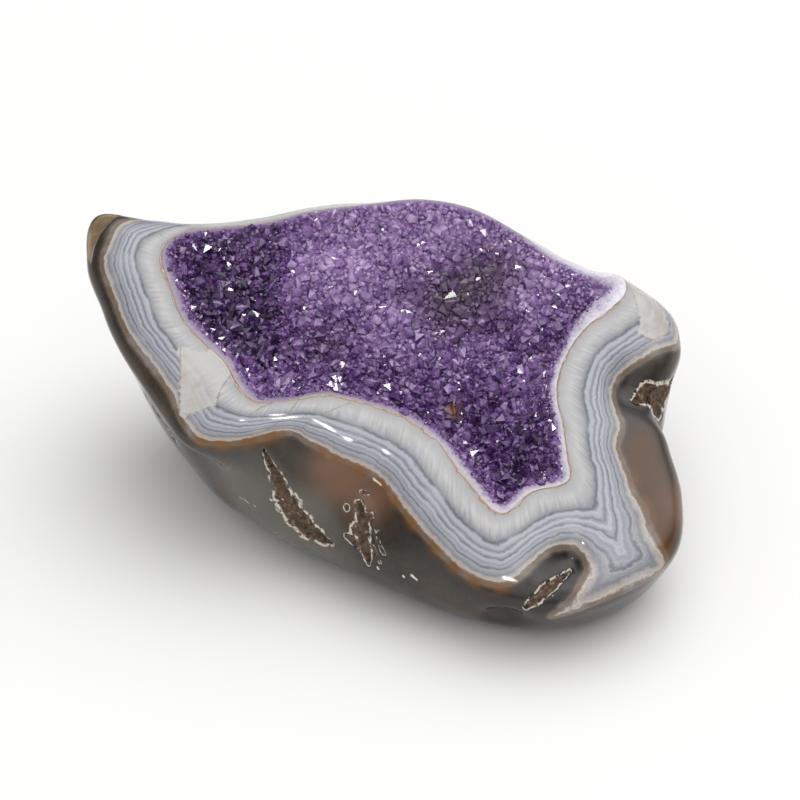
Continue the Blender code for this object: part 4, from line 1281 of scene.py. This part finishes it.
def make_floor():
    """A wide flat disc a hair below the stone, in millimetres."""
    material, _, shader = new_finish("pale floor")
    shader.inputs["Base Color"].default_value = (0.95, 0.945, 0.935, 1)
    shader.inputs["Roughness"].default_value = 0.6
    count = 64
    angle = np.arange(count) / count * 2 * math.pi
    ring = np.column_stack([np.cos(angle) * FLOOR_REACH, np.sin(angle) * FLOOR_REACH,
                            np.full(count, -FLOOR_DROP)])
    return new_piece("floor", np.concatenate([ring, [[0, 0, -FLOOR_DROP]]]), fan(count, 0, count),
                     material, smooth=False)


floor = make_floor()
print("floor:", 2 * FLOOR_REACH * MM, "m across")

# %% The sky
# Each glow: azimuth and height of its middle and how far it reaches, in degrees, and its strength.
GLOWS = ((130, 66, 50, 1.72), (-8, 58, 42, 0.9))
SKY_AT_HORIZON = 1.0
SKY_ABOVE = 0.35


def towards(azimuth, above):
    """The direction of a lamp; azimuth 0 is the camera's side."""
    azimuth, above = math.radians(azimuth), math.radians(above)
    flat = math.cos(above)
    return Vector((math.sin(azimuth) * flat, -math.cos(azimuth) * flat, math.sin(above)))


def eased(tree, value, low, high, new_low, new_high):
    """Like spread, but it starts and stops gently."""
    return add(tree, "ShaderNodeMapRange",
               {"Value": value, "From Min": low, "From Max": high, "To Min": new_low, "To Max": new_high},
               interpolation_type="SMOOTHSTEP").outputs[0]


def white_sky():
    """As bright as the floor at the horizon, so that no edge is mirrored in the stone; dimmer above, with
    two soft glows where large lamps would stand."""
    sky = bpy.data.worlds.new("white_sky")
    sky.use_nodes = True
    tree = sky.node_tree
    way = add(tree, "ShaderNodeTexCoord").outputs["Generated"]
    height = add(tree, "ShaderNodeSeparateXYZ", {0: way}).outputs["Z"]
    total = eased(tree, height, 0.0, 0.5, SKY_AT_HORIZON, SKY_ABOVE)
    for azimuth, above, reach, peak in GLOWS:
        facing = add(tree, "ShaderNodeVectorMath", {0: way, 1: towards(azimuth, above)},
                     operation="DOT_PRODUCT").outputs["Value"]
        glow = eased(tree, facing, math.cos(math.radians(reach)), 1.0, 0.0, peak)
        total = sum_of(tree, "ADD", total, glow)
    background = tree.nodes["Background"]
    background.inputs["Color"].default_value = (1, 1, 1, 1)
    tree.links.new(total, background.inputs["Strength"])
    return sky


bpy.context.scene.world = white_sky()
bpy.context.scene.view_settings.view_transform = "Standard"
print("sky with", len(GLOWS), "glows")

# %% [markdown]
# ## Glints
# A druse sparkles because a few of its thousands of faces mirror a lamp straight into the eye. Six small
# lamps from different sides do that. Light linking lets them shine on the crystals alone, so they neither
# whiten the rim nor cast shadows on the floor. One more shines on the stone alone, for its wet shine.

# %% Small lamps for the glints
# Each lamp: azimuth, height above the horizon, strength.
SPARKS = {
    "key_spark": (-8, 58, 0.17), "left_spark": (-100, 52, 0.1), "back_spark": (150, 50, 0.1),
    "front_spark": (25, 70, 0.1), "near_spark": (-40, 64, 0.1), "right_spark": (75, 58, 0.1),
}


def spark_lamp(name, azimuth, above, strength, pieces, angle=8):
    """A small far lamp that shines on these pieces only."""
    data = bpy.data.lights.new(name, "SUN")
    data.angle = math.radians(angle)
    data.energy = strength * math.pi
    lamp = bpy.data.objects.new(name, data)
    lamp.location = AIM + 0.6 * towards(azimuth, above)
    lamp.rotation_euler = towards(azimuth, above).to_track_quat("Z", "Y").to_euler()
    bpy.context.scene.collection.objects.link(lamp)
    lit = bpy.data.collections.new(name + "_pieces")
    for piece in pieces:
        lit.objects.link(piece)
    lamp.light_linking.receiver_collection = lit


for name, place in SPARKS.items():
    spark_lamp(name, *place, [points, grains])
spark_lamp("polish_lamp", -14, 58, 0.05, [stone], angle=5)
